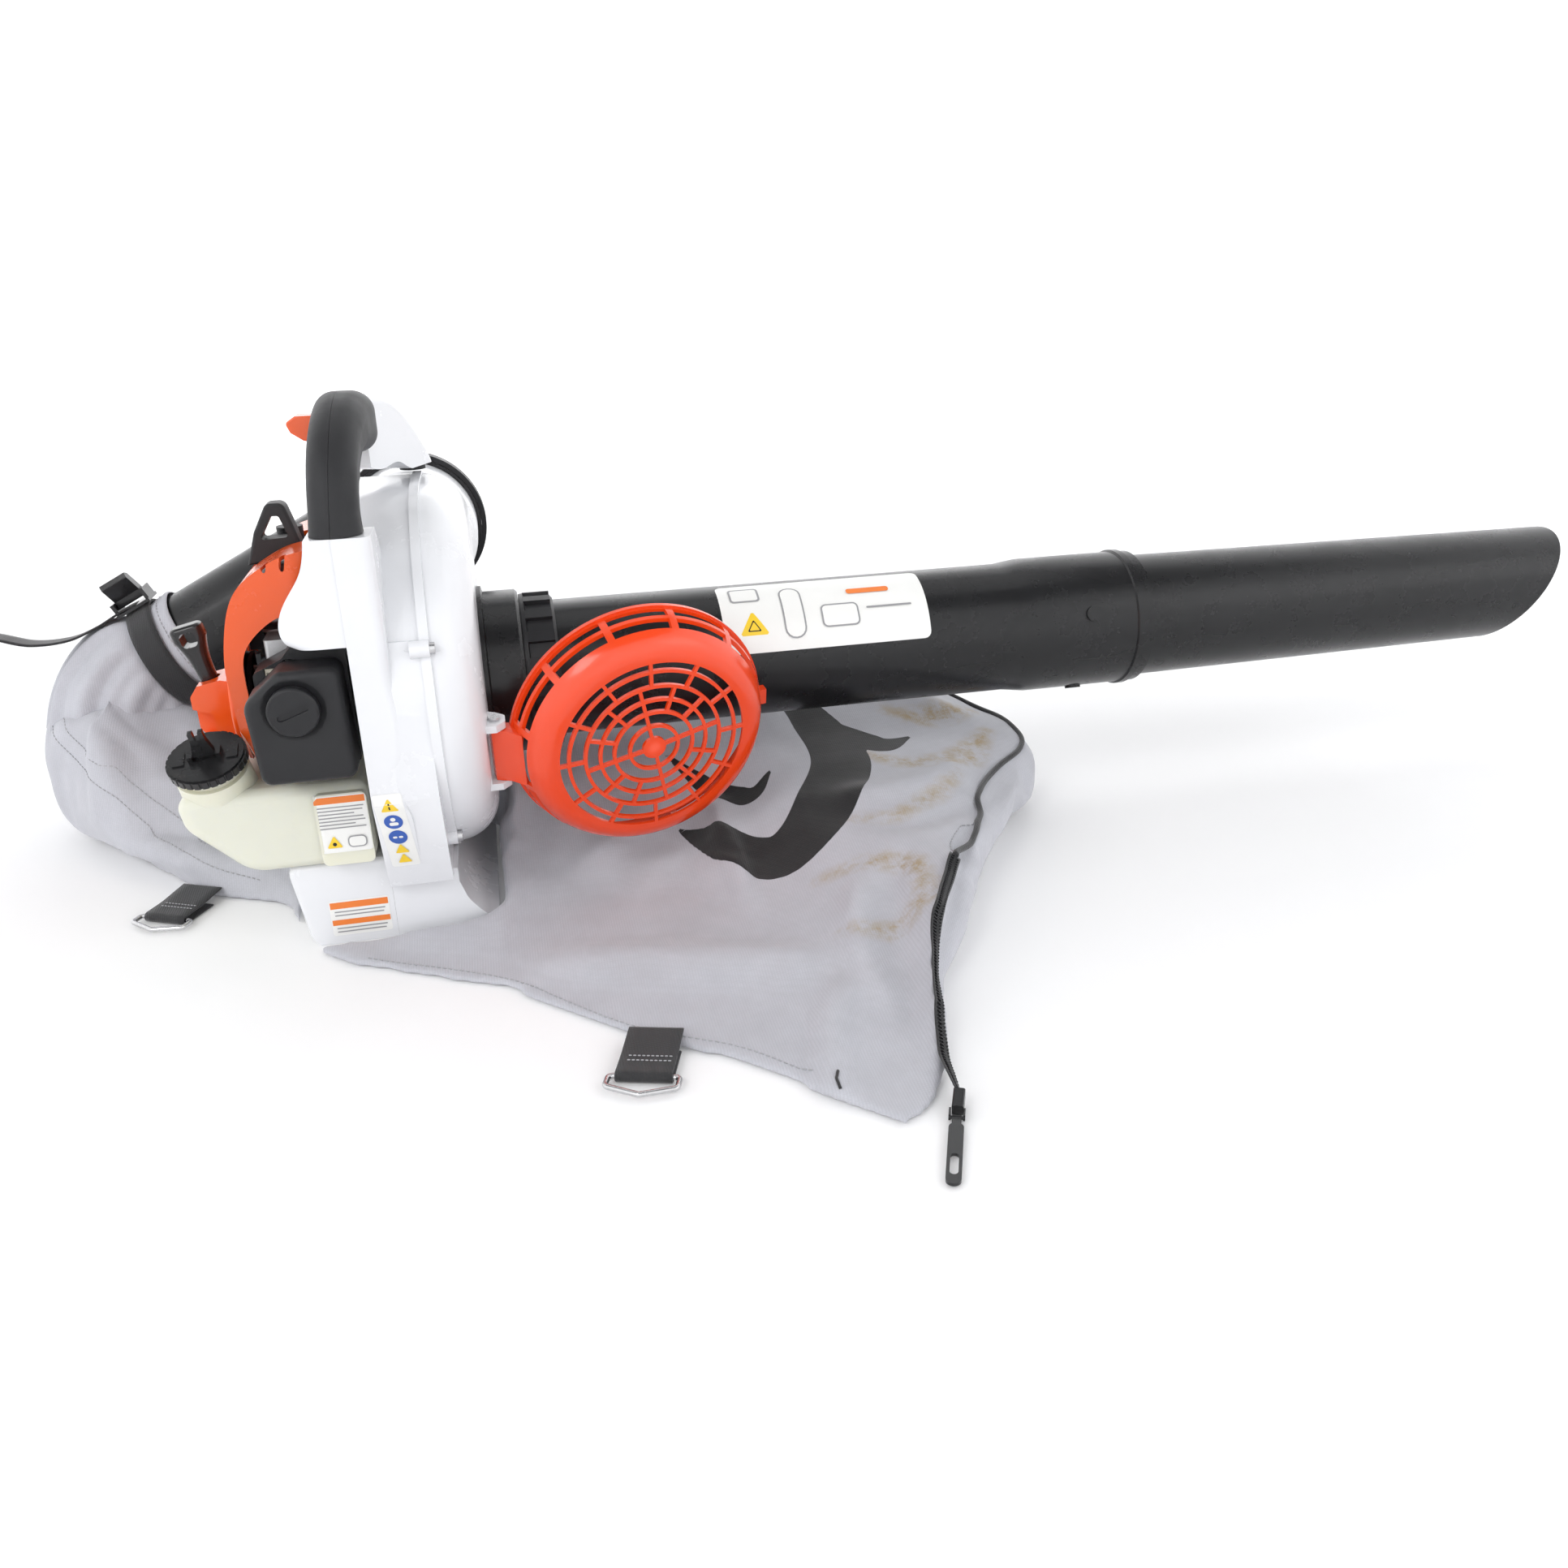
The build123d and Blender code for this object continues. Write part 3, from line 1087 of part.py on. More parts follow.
with BuildPart() as elbow_clamp:
    with BuildSketch(Plane.XY.offset(DUCT_Z)):
        with Locations((DUCT_X + DUCT_R + 4.9, DUCT_END_Y - 6)):
            Rectangle(3.6, 13)
    revolve(axis=Axis((DUCT_X, 0, DUCT_Z), (0, 1, 0)))
    with Locations((DUCT_X + 8, DUCT_END_Y - 6, DUCT_Z - DUCT_R - 9)):
        Box(14, 11, 10)
        Cylinder(2, 40, rotation=(0, 90, 0))
    with Locations(Location((DUCT_X, DUCT_END_Y - 6, DUCT_Z), (90, 0, 0))):
        Cylinder(DUCT_R + 3.1, 30, mode=Mode.SUBTRACT)
elbow_clamp.part.label = "elbow_clamp"
export_step(elbow_clamp.part, "parts/elbow_clamp.step")

# -------------------------------------------------------------- catcher bag
SLEEVE_R0, SLEEVE_R1 = ELBOW_R + FREE, ELBOW_R + 4.0
sleeve_start = elbow_end - run_dir * 38
sleeve_plane = Plane(origin=sleeve_start, x_dir=(0, 1, 0), z_dir=run_dir)
SLEEVE_LENGTH = 58.0
STRAP_AT, STRAP_WIDTH = 12.0, 22.0

with BuildPart() as bag_sleeve:
    with BuildSketch(sleeve_plane):
        Circle(SLEEVE_R1)
        Circle(SLEEVE_R0, mode=Mode.SUBTRACT)
    extrude(amount=SLEEVE_LENGTH)
bag_sleeve.part.label = "bag_sleeve"
export_step(bag_sleeve.part, "parts/bag_sleeve.step")

# outline of the bag across its length: x and (y, z) points, front to back
BAG_SECTIONS = (
    (-282, ((160, 50), (152, 76), (158, 100), (186, 108), (210, 96), (216, 50))),
    (-262, ((146, 20), (134, 66), (146, 108), (188, 122), (222, 108), (234, 20))),
    (-228, ((128, 0), (94, 58), (116, 120), (190, 148), (246, 118), (262, 0))),
    (-187, ((68, 0), (60, 46), (92, 90), (180, 104), (250, 94), (270, 0))),
    (-141, ((8, 0), (30, 40), (84, 76), (150, 84), (250, 82), (276, 0))),
    (-84, ((-22, 0), (10, 26), (70, 50), (100, 96), (200, 112), (278, 0))),
    (-50, ((-108, 0), (-80, 8), (70, 50), (110, 112), (205, 126), (279, 0))),
    (-24, ((-132, 0), (-100, 9), (40, 50), (112, 120), (208, 138), (279, 0))),
    (69, ((-186, 0), (-104, 18), (-30, 34), (110, 140), (215, 160), (276, 0))),
    (142, ((-266, 0), (-140, 16), (-50, 30), (18, 92), (205, 162), (277, 0))),
    (201, ((-307, 0), (-160, 15), (-50, 32), (16, 94), (200, 160), (275, 0))),
    (239, ((-353, 0), (-220, 15), (-80, 32), (14, 92), (195, 154), (271, 0))),
    (272, ((-387, 0), (-270, 16), (-110, 36), (14, 92), (186, 148), (265, 0))),
    (297, ((-372, 0), (-366, 7), (-160, 42), (15, 90), (175, 142), (255, 0))),
    (321, ((-321, 0), (-318, 30), (-150, 50), (20, 86), (160, 132), (240, 0))),
    (340, ((-253, 0), (-250, 56), (-150, 62), (20, 85), (150, 125), (225, 0))),
    (375, ((-188, 0), (-186, 62), (-100, 66), (22, 83), (142, 118), (212, 0))),
    (455, ((-50, 0), (-48, 58), (-10, 66), (26, 78), (110, 92), (150, 0))),
    (506, ((-4, 20), (0, 58), (18, 72), (45, 74), (70, 62), (72, 20))),
)
with BuildPart() as bag:
    for x, points in BAG_SECTIONS:
        with BuildSketch(Plane.YZ.offset(x)):
            with BuildLine():
                Polyline(*points, close=True)
            make_face()
    loft(ruled=True)
    # the machine stands in the bag's fold on its own foot
    with Locations((3, -5, 20)):
        Box(141, 178, 50, mode=Mode.SUBTRACT)
    with Locations((8, 6.5, 233)):
        Box(152, 200, 400, mode=Mode.SUBTRACT)
    with Locations((-66, -4, 190)):
        Box(140, 158, 280, mode=Mode.SUBTRACT)
    with BuildSketch(sleeve_plane.offset(-70)):
        Circle(SLEEVE_R1 + 4)
    extrude(amount=70 + SLEEVE_LENGTH, mode=Mode.SUBTRACT)
bag.part.label = "bag"
export_step(bag.part, "parts/bag.step")

strap_plane = sleeve_plane.offset(STRAP_AT)
TAIL = ((-228, 200, 164), (-248, 192, 156), (-272, 184, 158), (-292, 178, 168))
with BuildPart() as bag_strap:
    with BuildSketch(strap_plane):
        Circle(SLEEVE_R1 + 2)
        Circle(SLEEVE_R1 + 0.1, mode=Mode.SUBTRACT)
    extrude(amount=STRAP_WIDTH)
    # loose tail
    for (x0, y0, z0), (x1, y1, z1) in zip(TAIL, TAIL[1:]):
        start, end = Vector(x0, y0, z0), Vector(x1, y1, z1)
        along = (end - start).normalized()
        wide = Vector(0, 1, 0) - along * along.Y
        with BuildSketch(Plane(origin=start - along * 0.5, x_dir=wide, z_dir=along)):
            Rectangle(STRAP_WIDTH, 1.8)
        extrude(amount=(end - start).length + 1)
bag_strap.part.label = "bag_strap"
export_step(bag_strap.part, "parts/bag_strap.step")

# The buckle sits on top of the strap, its loose tail runs off to the left.
strap_middle = strap_plane.origin + run_dir * STRAP_WIDTH / 2
buckle_out = Vector(-run_dir.Z, 0, run_dir.X) * (-1)
buckle_origin = strap_middle + buckle_out * (SLEEVE_R1 + 2.2)
buckle_plane = Plane(origin=buckle_origin, x_dir=run_dir, z_dir=buckle_out)
with BuildPart() as cam_buckle:
    with BuildSketch(buckle_plane):
        Rectangle(30, 26)
    extrude(amount=2.4)
    with BuildSketch(buckle_plane.offset(2.4)):
        with Locations((-13.5, 0), (13.5, 0)):
            Rectangle(3, 20)
    extrude(amount=9)
    with BuildSketch(Plane(
        origin=buckle_origin + buckle_plane.z_dir * 8.4, x_dir=buckle_plane.y_dir, z_dir=buckle_plane.x_dir
    ).offset(-20)):
        Circle(1.5 + RUN)
    extrude(amount=40, mode=Mode.SUBTRACT)
cam_buckle.part.label = "cam_buckle"
export_step(cam_buckle.part, "parts/cam_buckle.step")

cam_plane = Plane(
    origin=buckle_origin + buckle_plane.z_dir * 8.4, x_dir=buckle_plane.y_dir, z_dir=buckle_plane.x_dir
)
with BuildPart() as cam_lever:
    with BuildSketch(cam_plane.offset(-11.4)) as cam_side:
        with BuildLine():
            Polyline((-4, -4), (4, -3), (5, 3), (12, 16), (10, 20), (4, 18), (-4, 4), close=True)
        make_face()
        fillet(cam_side.vertices(), 1)
    extrude(amount=22.8)
    with BuildSketch(cam_plane.offset(-15)):
        Circle(1.5)
    extrude(amount=30)
cam_lever.part.label = "cam_lever"
export_step(cam_lever.part, "parts/cam_lever.step")

# ------------------------------------------------------ zip, loops and rings
ZIP_POINTS = ((306, -372, 7), (329, -322, 29), (349, -252, 58), (383, -186, 66))
with BuildPart() as zipper:
    for start, end in zip(ZIP_POINTS, ZIP_POINTS[1:]):
        first, last = Vector(*start), Vector(*end)
        along = (last - first).normalized()
        with BuildSketch(Plane(origin=first, x_dir=Vector(0, 0, 1) - along * along.Z, z_dir=along)):
            Rectangle(6, 2.4)
        extrude(amount=(last - first).length)
zipper.part.label = "zipper"
export_step(zipper.part, "parts/zipper.step")

slider_at = Vector(*ZIP_POINTS[0])
zip_dir = (Vector(*ZIP_POINTS[1]) - slider_at).normalized()
slider_plane = Plane(
    origin=slider_at + zip_dir * 1.4, x_dir=Vector(0, 0, 1) - zip_dir * zip_dir.Z, z_dir=-zip_dir
)
PIVOT_R = 1.0
pull_pivot = slider_at - zip_dir * 15.5 + Vector(0, 0, 1.6)
pull_end = Vector(283, -428, 2.2)
pull_dir = (pull_end - pull_pivot).normalized()
pull_side = Vector(0, 0, 1).cross(pull_dir).normalized()
pull_plane = Plane(origin=pull_pivot, x_dir=pull_dir, z_dir=pull_dir.cross(pull_side))
pivot_plane = Plane(origin=pull_pivot, x_dir=pull_dir, z_dir=pull_side)
with BuildPart() as zipper_slider:
    with BuildSketch(slider_plane):
        RectangleRounded(10, 6.4, 1.4)
        Rectangle(6.8, 3.2, mode=Mode.SUBTRACT)
    extrude(amount=10)
    with BuildSketch(slider_plane.offset(10)):
        RectangleRounded(10, 6.4, 1.4)
    extrude(amount=1.2)
    # cheeks and pin that carry the pull
    for side in (-4.4, 3.2):
        with BuildSketch(pivot_plane.offset(side)):
            with Locations((-3, 0)):
                SlotOverall(9, 3.6)
        extrude(amount=1.2)
    with BuildSketch(pivot_plane.offset(-4)):
        Circle(PIVOT_R)
    extrude(amount=8)
zipper_slider.part.label = "zipper_slider"
export_step(zipper_slider.part, "parts/zipper_slider.step")

PULL_LENGTH = 50.0
with BuildPart() as zipper_pull:
    with BuildSketch(pull_plane.offset(-0.9)):
        with Locations((PULL_LENGTH / 2 + 4, 0)):
            SlotOverall(PULL_LENGTH - 2, 8)
        with Locations((2, 0)):
            Rectangle(10, 5)
        with Locations((38, 0)):
            SlotOverall(16, 4.4, mode=Mode.SUBTRACT)
    extrude(amount=1.8)
    with BuildSketch(pivot_plane.offset(-2.5)):
        Circle(1.9)
    extrude(amount=5)
    with BuildSketch(pivot_plane.offset(-2.5)):
        Circle(PIVOT_R + RUN)
    extrude(amount=5, mode=Mode.SUBTRACT)
    with Locations(Location(pull_plane) * Location((-8, 0, 0))):
        Box(12, 12, 12, mode=Mode.SUBTRACT)
zipper_pull.part.label = "zipper_pull"
export_step(zipper_pull.part, "parts/zipper_pull.step")

LOOP_WIDTH, LOOP_LENGTH, RING_WIRE, RING_Z = 34.0, 30.0, 1.7, 3.6
LOOP_ROOTS = (
    (Vector(-150, -2, 0), Vector(-0.45, -0.89, 0).normalized()),
    (Vector(152, -282, 0), Vector(-0.30, -0.95, 0).normalized()),
)
with BuildPart() as strap_loops:
    for root, away in LOOP_ROOTS:
        loop_plane = Plane(origin=root, x_dir=away, z_dir=(0, 0, 1))
        bar_plane = Plane(
            origin=root + away * (LOOP_LENGTH - 5), x_dir=away, z_dir=-loop_plane.y_dir
        )
        with BuildSketch(loop_plane.offset(0.6)):
            with Locations((LOOP_LENGTH / 2, 0)):
                Rectangle(LOOP_LENGTH, LOOP_WIDTH)
        extrude(amount=6)
        with BuildSketch(bar_plane.offset(-LOOP_WIDTH)):
            with Locations((0, RING_Z)):
                Circle(RING_WIRE + 0.3)
        extrude(amount=2 * LOOP_WIDTH, mode=Mode.SUBTRACT)
strap_loops.part.label = "strap_loops"
export_step(strap_loops.part, "parts/strap_loops.step")


def ring_at(root, away):
    """Closed wire ring whose straight bar lies in the loop's hem."""
    plane = Plane(
        origin=root + away * (LOOP_LENGTH - 5) + Vector(0, 0, RING_Z), x_dir=away, z_dir=(0, 0, 1)
    )
    half = LOOP_WIDTH / 2 + 3.5
    with BuildPart() as ring:
        with BuildLine(plane):
            FilletPolyline((0, 0), (0, half), (10, half), (17, 0), (10, -half), (0, -half), (0, -1), radius=3)
        with BuildSketch(Plane(origin=plane.origin, x_dir=away, z_dir=plane.y_dir)):
            Circle(RING_WIRE)
        sweep()
        with BuildSketch(Plane(origin=plane.origin, x_dir=away, z_dir=-plane.y_dir)):
            Circle(RING_WIRE)
        extrude(amount=2)
    return ring


d_ring_rear = ring_at(*LOOP_ROOTS[0])
d_ring_rear.part.label = "d_ring_rear"
export_step(d_ring_rear.part, "parts/d_ring_rear.step")
d_ring_front = ring_at(*LOOP_ROOTS[1])
d_ring_front.part.label = "d_ring_front"
export_step(d_ring_front.part, "parts/d_ring_front.step")
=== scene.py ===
import json
import math

import bmesh
import bpy
import numpy as np
from mathutils import Matrix, Vector, noise
from mathutils.bvhtree import BVHTree


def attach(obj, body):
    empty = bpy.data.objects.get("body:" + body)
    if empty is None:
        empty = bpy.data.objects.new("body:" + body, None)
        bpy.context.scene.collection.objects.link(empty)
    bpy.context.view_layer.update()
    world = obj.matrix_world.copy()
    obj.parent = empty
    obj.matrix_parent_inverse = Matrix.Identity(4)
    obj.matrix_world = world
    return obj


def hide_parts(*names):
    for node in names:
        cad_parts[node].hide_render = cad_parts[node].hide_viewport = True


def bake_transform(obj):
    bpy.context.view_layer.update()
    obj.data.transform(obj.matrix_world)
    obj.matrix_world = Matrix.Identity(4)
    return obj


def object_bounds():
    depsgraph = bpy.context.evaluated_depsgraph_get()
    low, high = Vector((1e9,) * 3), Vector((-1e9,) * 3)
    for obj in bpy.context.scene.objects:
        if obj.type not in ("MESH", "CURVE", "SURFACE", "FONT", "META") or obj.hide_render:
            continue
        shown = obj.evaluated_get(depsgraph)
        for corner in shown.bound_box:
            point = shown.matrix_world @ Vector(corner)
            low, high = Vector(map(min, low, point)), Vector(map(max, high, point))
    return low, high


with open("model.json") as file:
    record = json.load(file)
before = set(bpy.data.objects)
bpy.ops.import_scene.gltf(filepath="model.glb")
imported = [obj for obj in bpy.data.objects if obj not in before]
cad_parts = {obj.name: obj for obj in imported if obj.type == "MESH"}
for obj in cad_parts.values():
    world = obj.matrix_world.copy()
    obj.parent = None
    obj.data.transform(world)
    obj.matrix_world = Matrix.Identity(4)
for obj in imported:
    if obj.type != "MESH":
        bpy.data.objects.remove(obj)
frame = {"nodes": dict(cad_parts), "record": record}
cad_low, cad_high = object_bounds()
nodes = frame["nodes"]
scene = bpy.context.scene


# ------------------------------------------------------------------ camera
def place_camera():
    """The photograph's viewing angle, with no shift and no depth of field."""
    data = bpy.data.cameras.new("camera")
    data.lens = 29.81
    data.sensor_width = 36
    data.clip_start, data.clip_end = 0.05, 60
    camera = bpy.data.objects.new("camera", data)
    right = Vector((0.9752, -0.2193, -0.0291))
    back = Vector((-0.1928, -0.9069, 0.3746))
    up = back.cross(right)
    at = Vector((0.09849, -0.92197, 0.42446))
    rows = [(right[i], up[i], back[i], at[i]) for i in range(3)]
    camera.matrix_world = Matrix(rows + [(0, 0, 0, 1)])
    scene.collection.objects.link(camera)
    scene.camera = camera


place_camera()


# --------------------------------------------------------------- materials
class Shader:
    """A node tree with one Principled shader and object coordinates."""

    def __init__(self, name):
        self.material = bpy.data.materials.new(name)
        self.material.use_nodes = True
        self.tree = self.material.node_tree
        self.tree.nodes.clear()
        self.out = self.tree.nodes.new("ShaderNodeOutputMaterial")
        self.bsdf = self.tree.nodes.new("ShaderNodeBsdfPrincipled")
        self.link(self.bsdf.outputs[0], self.out.inputs[0])
        self.place = self.tree.nodes.new("ShaderNodeTexCoord").outputs["Object"]
        self.normal = None

    def link(self, a, b):
        self.tree.links.new(a, b)

    def put(self, **values):
        for key, value in values.items():
            self.bsdf.inputs[key.replace("_", " ")].default_value = value
        return self

    def mapped(self, stretch):
        if stretch == (1, 1, 1):
            return self.place
        node = self.tree.nodes.new("ShaderNodeMapping")
        node.inputs["Scale"].default_value = stretch
        self.link(self.place, node.inputs["Vector"])
        return node.outputs[0]

    def noise(self, scale, detail=3.0, rough=0.5, stretch=(1, 1, 1), distortion=0.0):
        node = self.tree.nodes.new("ShaderNodeTexNoise")
        node.inputs["Scale"].default_value = scale
        node.inputs["Detail"].default_value = detail
        node.inputs["Roughness"].default_value = rough
        node.inputs["Distortion"].default_value = distortion
        self.link(self.mapped(stretch), node.inputs["Vector"])
        return node.outputs["Fac"]

    def wave(self, period, axis, distortion=0.0):
        """Bands with the given period in metres."""
        node = self.tree.nodes.new("ShaderNodeTexWave")
        node.wave_type = "BANDS"
        node.bands_direction = axis
        node.inputs["Scale"].default_value = 2 * math.pi / (20 * period)
        node.inputs["Distortion"].default_value = distortion
        self.link(self.place, node.inputs["Vector"])
        return node.outputs["Fac"]

    def ramp(self, fac, stops):
        node = self.tree.nodes.new("ShaderNodeValToRGB")
        first, last = node.color_ramp.elements
        first.position, first.color = stops[0][0], (*stops[0][1], 1)
        last.position, last.color = stops[-1][0], (*stops[-1][1], 1)
        for place, color in stops[1:-1]:
            node.color_ramp.elements.new(place).color = (*color, 1)
        self.link(fac, node.inputs[0])
        return node.outputs[0]

    def level(self, fac, low, high, low_at=0.3, high_at=0.7):
        """low where fac is low_at, high where it is high_at."""
        node = self.tree.nodes.new("ShaderNodeMapRange")
        for key, value in (("From Min", low_at), ("From Max", high_at), ("To Min", low), ("To Max", high)):
            node.inputs[key].default_value = value
        self.link(fac, node.inputs[0])
        return node.outputs[0]

    def math(self, kind, a, b):
        node = self.tree.nodes.new("ShaderNodeMath")
        node.operation = kind
        for socket, value in zip(node.inputs, (a, b)):
            if isinstance(value, float):
                socket.default_value = value
            else:
                self.link(value, socket)
        return node.outputs[0]

    def mix(self, fac, a, b):
        node = self.tree.nodes.new("ShaderNodeMix")
        node.data_type = "RGBA"
        for socket, value in ((node.inputs[0], fac), (node.inputs[6], a), (node.inputs[7], b)):
            if isinstance(value, tuple):
                socket.default_value = (*value, 1)
            elif isinstance(value, float):
                socket.default_value = value
            else:
                self.link(value, socket)
        return node.outputs[2]

    def attribute(self, name):
        node = self.tree.nodes.new("ShaderNodeAttribute")
        node.attribute_name = name
        return node.outputs["Fac"]

    def bump(self, height, strength, depth):
        """Adds relief of a depth in metres on top of the relief so far."""
        node = self.tree.nodes.new("ShaderNodeBump")
        node.inputs["Strength"].default_value = strength
        node.inputs["Distance"].default_value = depth
        self.link(height, node.inputs["Height"])
        if self.normal is not None:
            self.link(self.normal, node.inputs["Normal"])
        self.normal = node.outputs[0]
        self.link(self.normal, self.bsdf.inputs["Normal"])
        return self

    def color(self, socket):
        self.link(socket, self.bsdf.inputs["Base Color"])
        return self

    def rough(self, socket):
        self.link(socket, self.bsdf.inputs["Roughness"])
        return self


def shade(color, factor):
    return tuple(min(1.0, c * factor) for c in color)


def moulded(name, color, rough, grain=2200, depth=0.00003, coat=0.0, vary=0.06, dirt=0.0, scratch=0.0):
    """Injection-moulded plastic: mottled colour, grain, faint scuffs and dirt."""
    s = Shader(name)
    spread = s.noise(9, 4, 0.6)
    base = s.ramp(spread, [(0.3, shade(color, 1 - vary)), (0.7, shade(color, 1 + vary))])
    if dirt:
        specks = s.level(s.noise(46, 6, 0.75), 0.0, dirt, 0.60, 0.80)
        base = s.mix(specks, base, DUST)
    s.color(base)
    smear = s.noise(24, 5, 0.65)
    s.rough(s.level(smear, rough * 0.82, rough * 1.22))
    s.bump(s.noise(grain, 2, 0.5), 0.35, depth)
    s.bump(s.noise(60, 2, 0.4), 0.04, 0.0003)
    if scratch:
        s.bump(s.noise(420, 2, 0.8, (0.03, 1, 1), 0.4), scratch, 0.00008)
    s.put(Coat_Weight=coat, Coat_Roughness=0.12)
    if max(color) < 0.05:
        s.bsdf.inputs["Specular IOR Level"].default_value = 0.32
    return s


def metal(name, color, rough, cast=0.0, brushed=True):
    """Bare metal, mottled, with a cast grain or fine brushing."""
    s = Shader(name)
    s.put(Metallic=1.0)
    s.color(s.ramp(s.noise(30, 5, 0.6), [(0.3, shade(color, 0.85)), (0.7, shade(color, 1.08))]))
    s.rough(s.level(s.noise(140, 4, 0.6), rough * 0.75, rough * 1.3))
    if cast:
        s.bump(s.noise(700, 4, 0.7), cast, 0.0003)
    if brushed:
        s.bump(s.noise(900, 2, 0.6, (1, 1, 0.05)), 0.12, 0.00005)
    return s


def woven(name, color, period, depth, rough=0.85, mottling=0.07):
    """Plain weave in object space, with slubs, painted shade in the gaps between the threads and a soft
    sheen.
    """
    s = Shader(name)
    warp = s.wave(period, "X", 0.6)
    weft = s.math("MAXIMUM", s.wave(period, "Y", 0.6), s.wave(period, "Z", 0.6))
    weave = s.math("MULTIPLY", warp, weft)
    mottle = s.noise(34, 6, 0.65)
    base = s.ramp(mottle, [(0.3, shade(color, 1 - mottling)), (0.7, shade(color, 1 + mottling))])
    # painted shade: the colour darkens in the low gaps of the weave, where the threads shade each other
    base = s.mix(s.level(weave, 0.20, 0.0, 0.0, 0.55), base, shade(color, 0.62))
    slub = s.level(s.noise(260, 4, 0.7), 0.0, 0.14, 0.5, 0.75)
    base = s.mix(slub, base, shade(color, 0.80))
    s.rough(s.level(mottle, rough * 0.92, min(1.0, rough * 1.08)))
    s.bump(weave, 0.45, depth)
    s.bump(s.noise(320, 4, 0.65), 0.35, depth)
    s.put(Sheen_Weight=0.25, Sheen_Roughness=0.5)
    return s, base


DUST = (0.20, 0.17, 0.13)
WHITE = (0.755, 0.765, 0.79)
ORANGE = (0.80, 0.095, 0.008)
RED_ORANGE = (0.80, 0.055, 0.006)
BLACK = (0.012, 0.012, 0.013)
CREAM = (0.74, 0.73, 0.60)
CLOTH = (0.50, 0.505, 0.55)
CLOTH_SHADOW = (0.42, 0.41, 0.42)
TAN = (0.36, 0.27, 0.15)
PRINT_BLACK = (0.010, 0.010, 0.011)

white = moulded("white_plastic", WHITE, 0.24, 1500, 0.00002, coat=0.35, vary=0.02, dirt=0.05)
orange = moulded("orange_plastic", ORANGE, 0.25, 1500, 0.00002, coat=0.3, vary=0.05, dirt=0.10)
screen_red = moulded("screen_plastic", RED_ORANGE, 0.22, 1500, 0.00002, coat=0.35, vary=0.05)
tube = moulded("tube_plastic", BLACK, 0.27, 900, 0.00002, coat=0.05, vary=0.15, dirt=0.02, scratch=0.04)
satin = moulded("satin_black", (0.016, 0.016, 0.018), 0.42, 1900, 0.00006, vary=0.12, dirt=0.05)
glossy = moulded("gloss_black", (0.014, 0.014, 0.015), 0.24, 1500, 0.00002, coat=0.3, vary=0.12, dirt=0.16)
soft_grip = moulded("grip_soft", (0.020, 0.020, 0.022), 0.52, 1500, 0.0001, vary=0.12, dirt=0.06)
rubber = moulded("rubber_black", (0.022, 0.022, 0.024), 0.48, 1200, 0.00008, vary=0.15, dirt=0.12)
fan_mould = moulded("fan_mould", (0.045, 0.045, 0.05), 0.45, 900, 0.00008, vary=0.12, scratch=0.2)
tank = moulded("tank_milky", CREAM, 0.34, 1200, 0.00003, vary=0.035, dirt=0.05)
tank.put(Subsurface_Weight=0.35, Subsurface_Radius=(0.012, 0.010, 0.006), Subsurface_Scale=1.0)
zinc = metal("zinc_plate", (0.62, 0.62, 0.63), 0.26)
heat_steel = metal("heat_steel", (0.30, 0.27, 0.24), 0.42)
cast_alloy = metal("cast_alloy", (0.55, 0.55, 0.56), 0.5, cast=0.5, brushed=False)
webbing, web_base = woven("webbing_black", (0.016, 0.016, 0.018), 0.0016, 0.00025, 0.7, 0.1)
webbing.color(web_base)
cord_weave, cord_base = woven("cord_braid", (0.52, 0.52, 0.50), 0.0012, 0.0003, 0.8, 0.1)
cord_weave.color(cord_base)
felt, felt_base = woven("filter_felt", (0.62, 0.58, 0.48), 0.0010, 0.0002, 0.95, 0.1)
felt.color(felt_base)
ceramic = moulded("plug_glaze", (0.80, 0.80, 0.78), 0.12, 600, 0.00001, coat=0.6, vary=0.02)

cloth, cloth_base = woven("bag_cloth", CLOTH, 0.0017, 0.00022, 0.88, 0.06)
shadowed = cloth.level(cloth.noise(7, 4, 0.55), 0.0, 0.10, 0.40, 0.75)
cloth_base = cloth.mix(shadowed, cloth_base, CLOTH_SHADOW)
tan_mark = cloth.attribute("tan")
tan_patches = cloth.level(cloth.noise(70, 6, 0.75), 0.10, 0.95, 0.42, 0.60)
tan_mask = cloth.math("MULTIPLY", tan_mark, tan_patches)
cloth_base = cloth.mix(tan_mask, cloth_base, TAN)
print_mask = cloth.level(cloth.attribute("print"), 0.0, 1.0, 0.46, 0.54)
cloth.color(cloth.mix(print_mask, cloth_base, PRINT_BLACK))

BY_SLOT = {
    "white_housing": white, "orange_housing": orange, "orange_screen": screen_red, "black_tube": tube,
    "black_plastic": satin, "grip_plastic": soft_grip, "black_rubber": rubber, "tank_plastic": tank,
    "bag_cloth": cloth, "black_webbing": webbing, "bright_steel": zinc, "dark_steel": heat_steel,
    "cast_aluminium": cast_alloy, "fan_plastic": fan_mould, "plug_ceramic": ceramic,
    "rope_cord": cord_weave, "filter_felt": felt,
}
OWN = {"fuel_cap": glossy, "fuel_cap_tab": glossy, "starter_grip": glossy, "union_nut": satin,
       "zipper_slider": glossy, "zipper_pull": glossy, "cam_buckle": glossy, "cam_lever": glossy}
for part in frame["record"]["subparts"]:
    node = nodes[part["node"]]
    made = OWN.get(part["node"], BY_SLOT[part["material_slot"]])
    node.data.materials.clear()
    node.data.materials.append(made.material)


CREASE_ANGLE = math.radians(32)
WELD_DISTANCE = 0.00001


def smooth_faces(mesh, smooth=True):
    for polygon in mesh.polygons:
        polygon.use_smooth = smooth


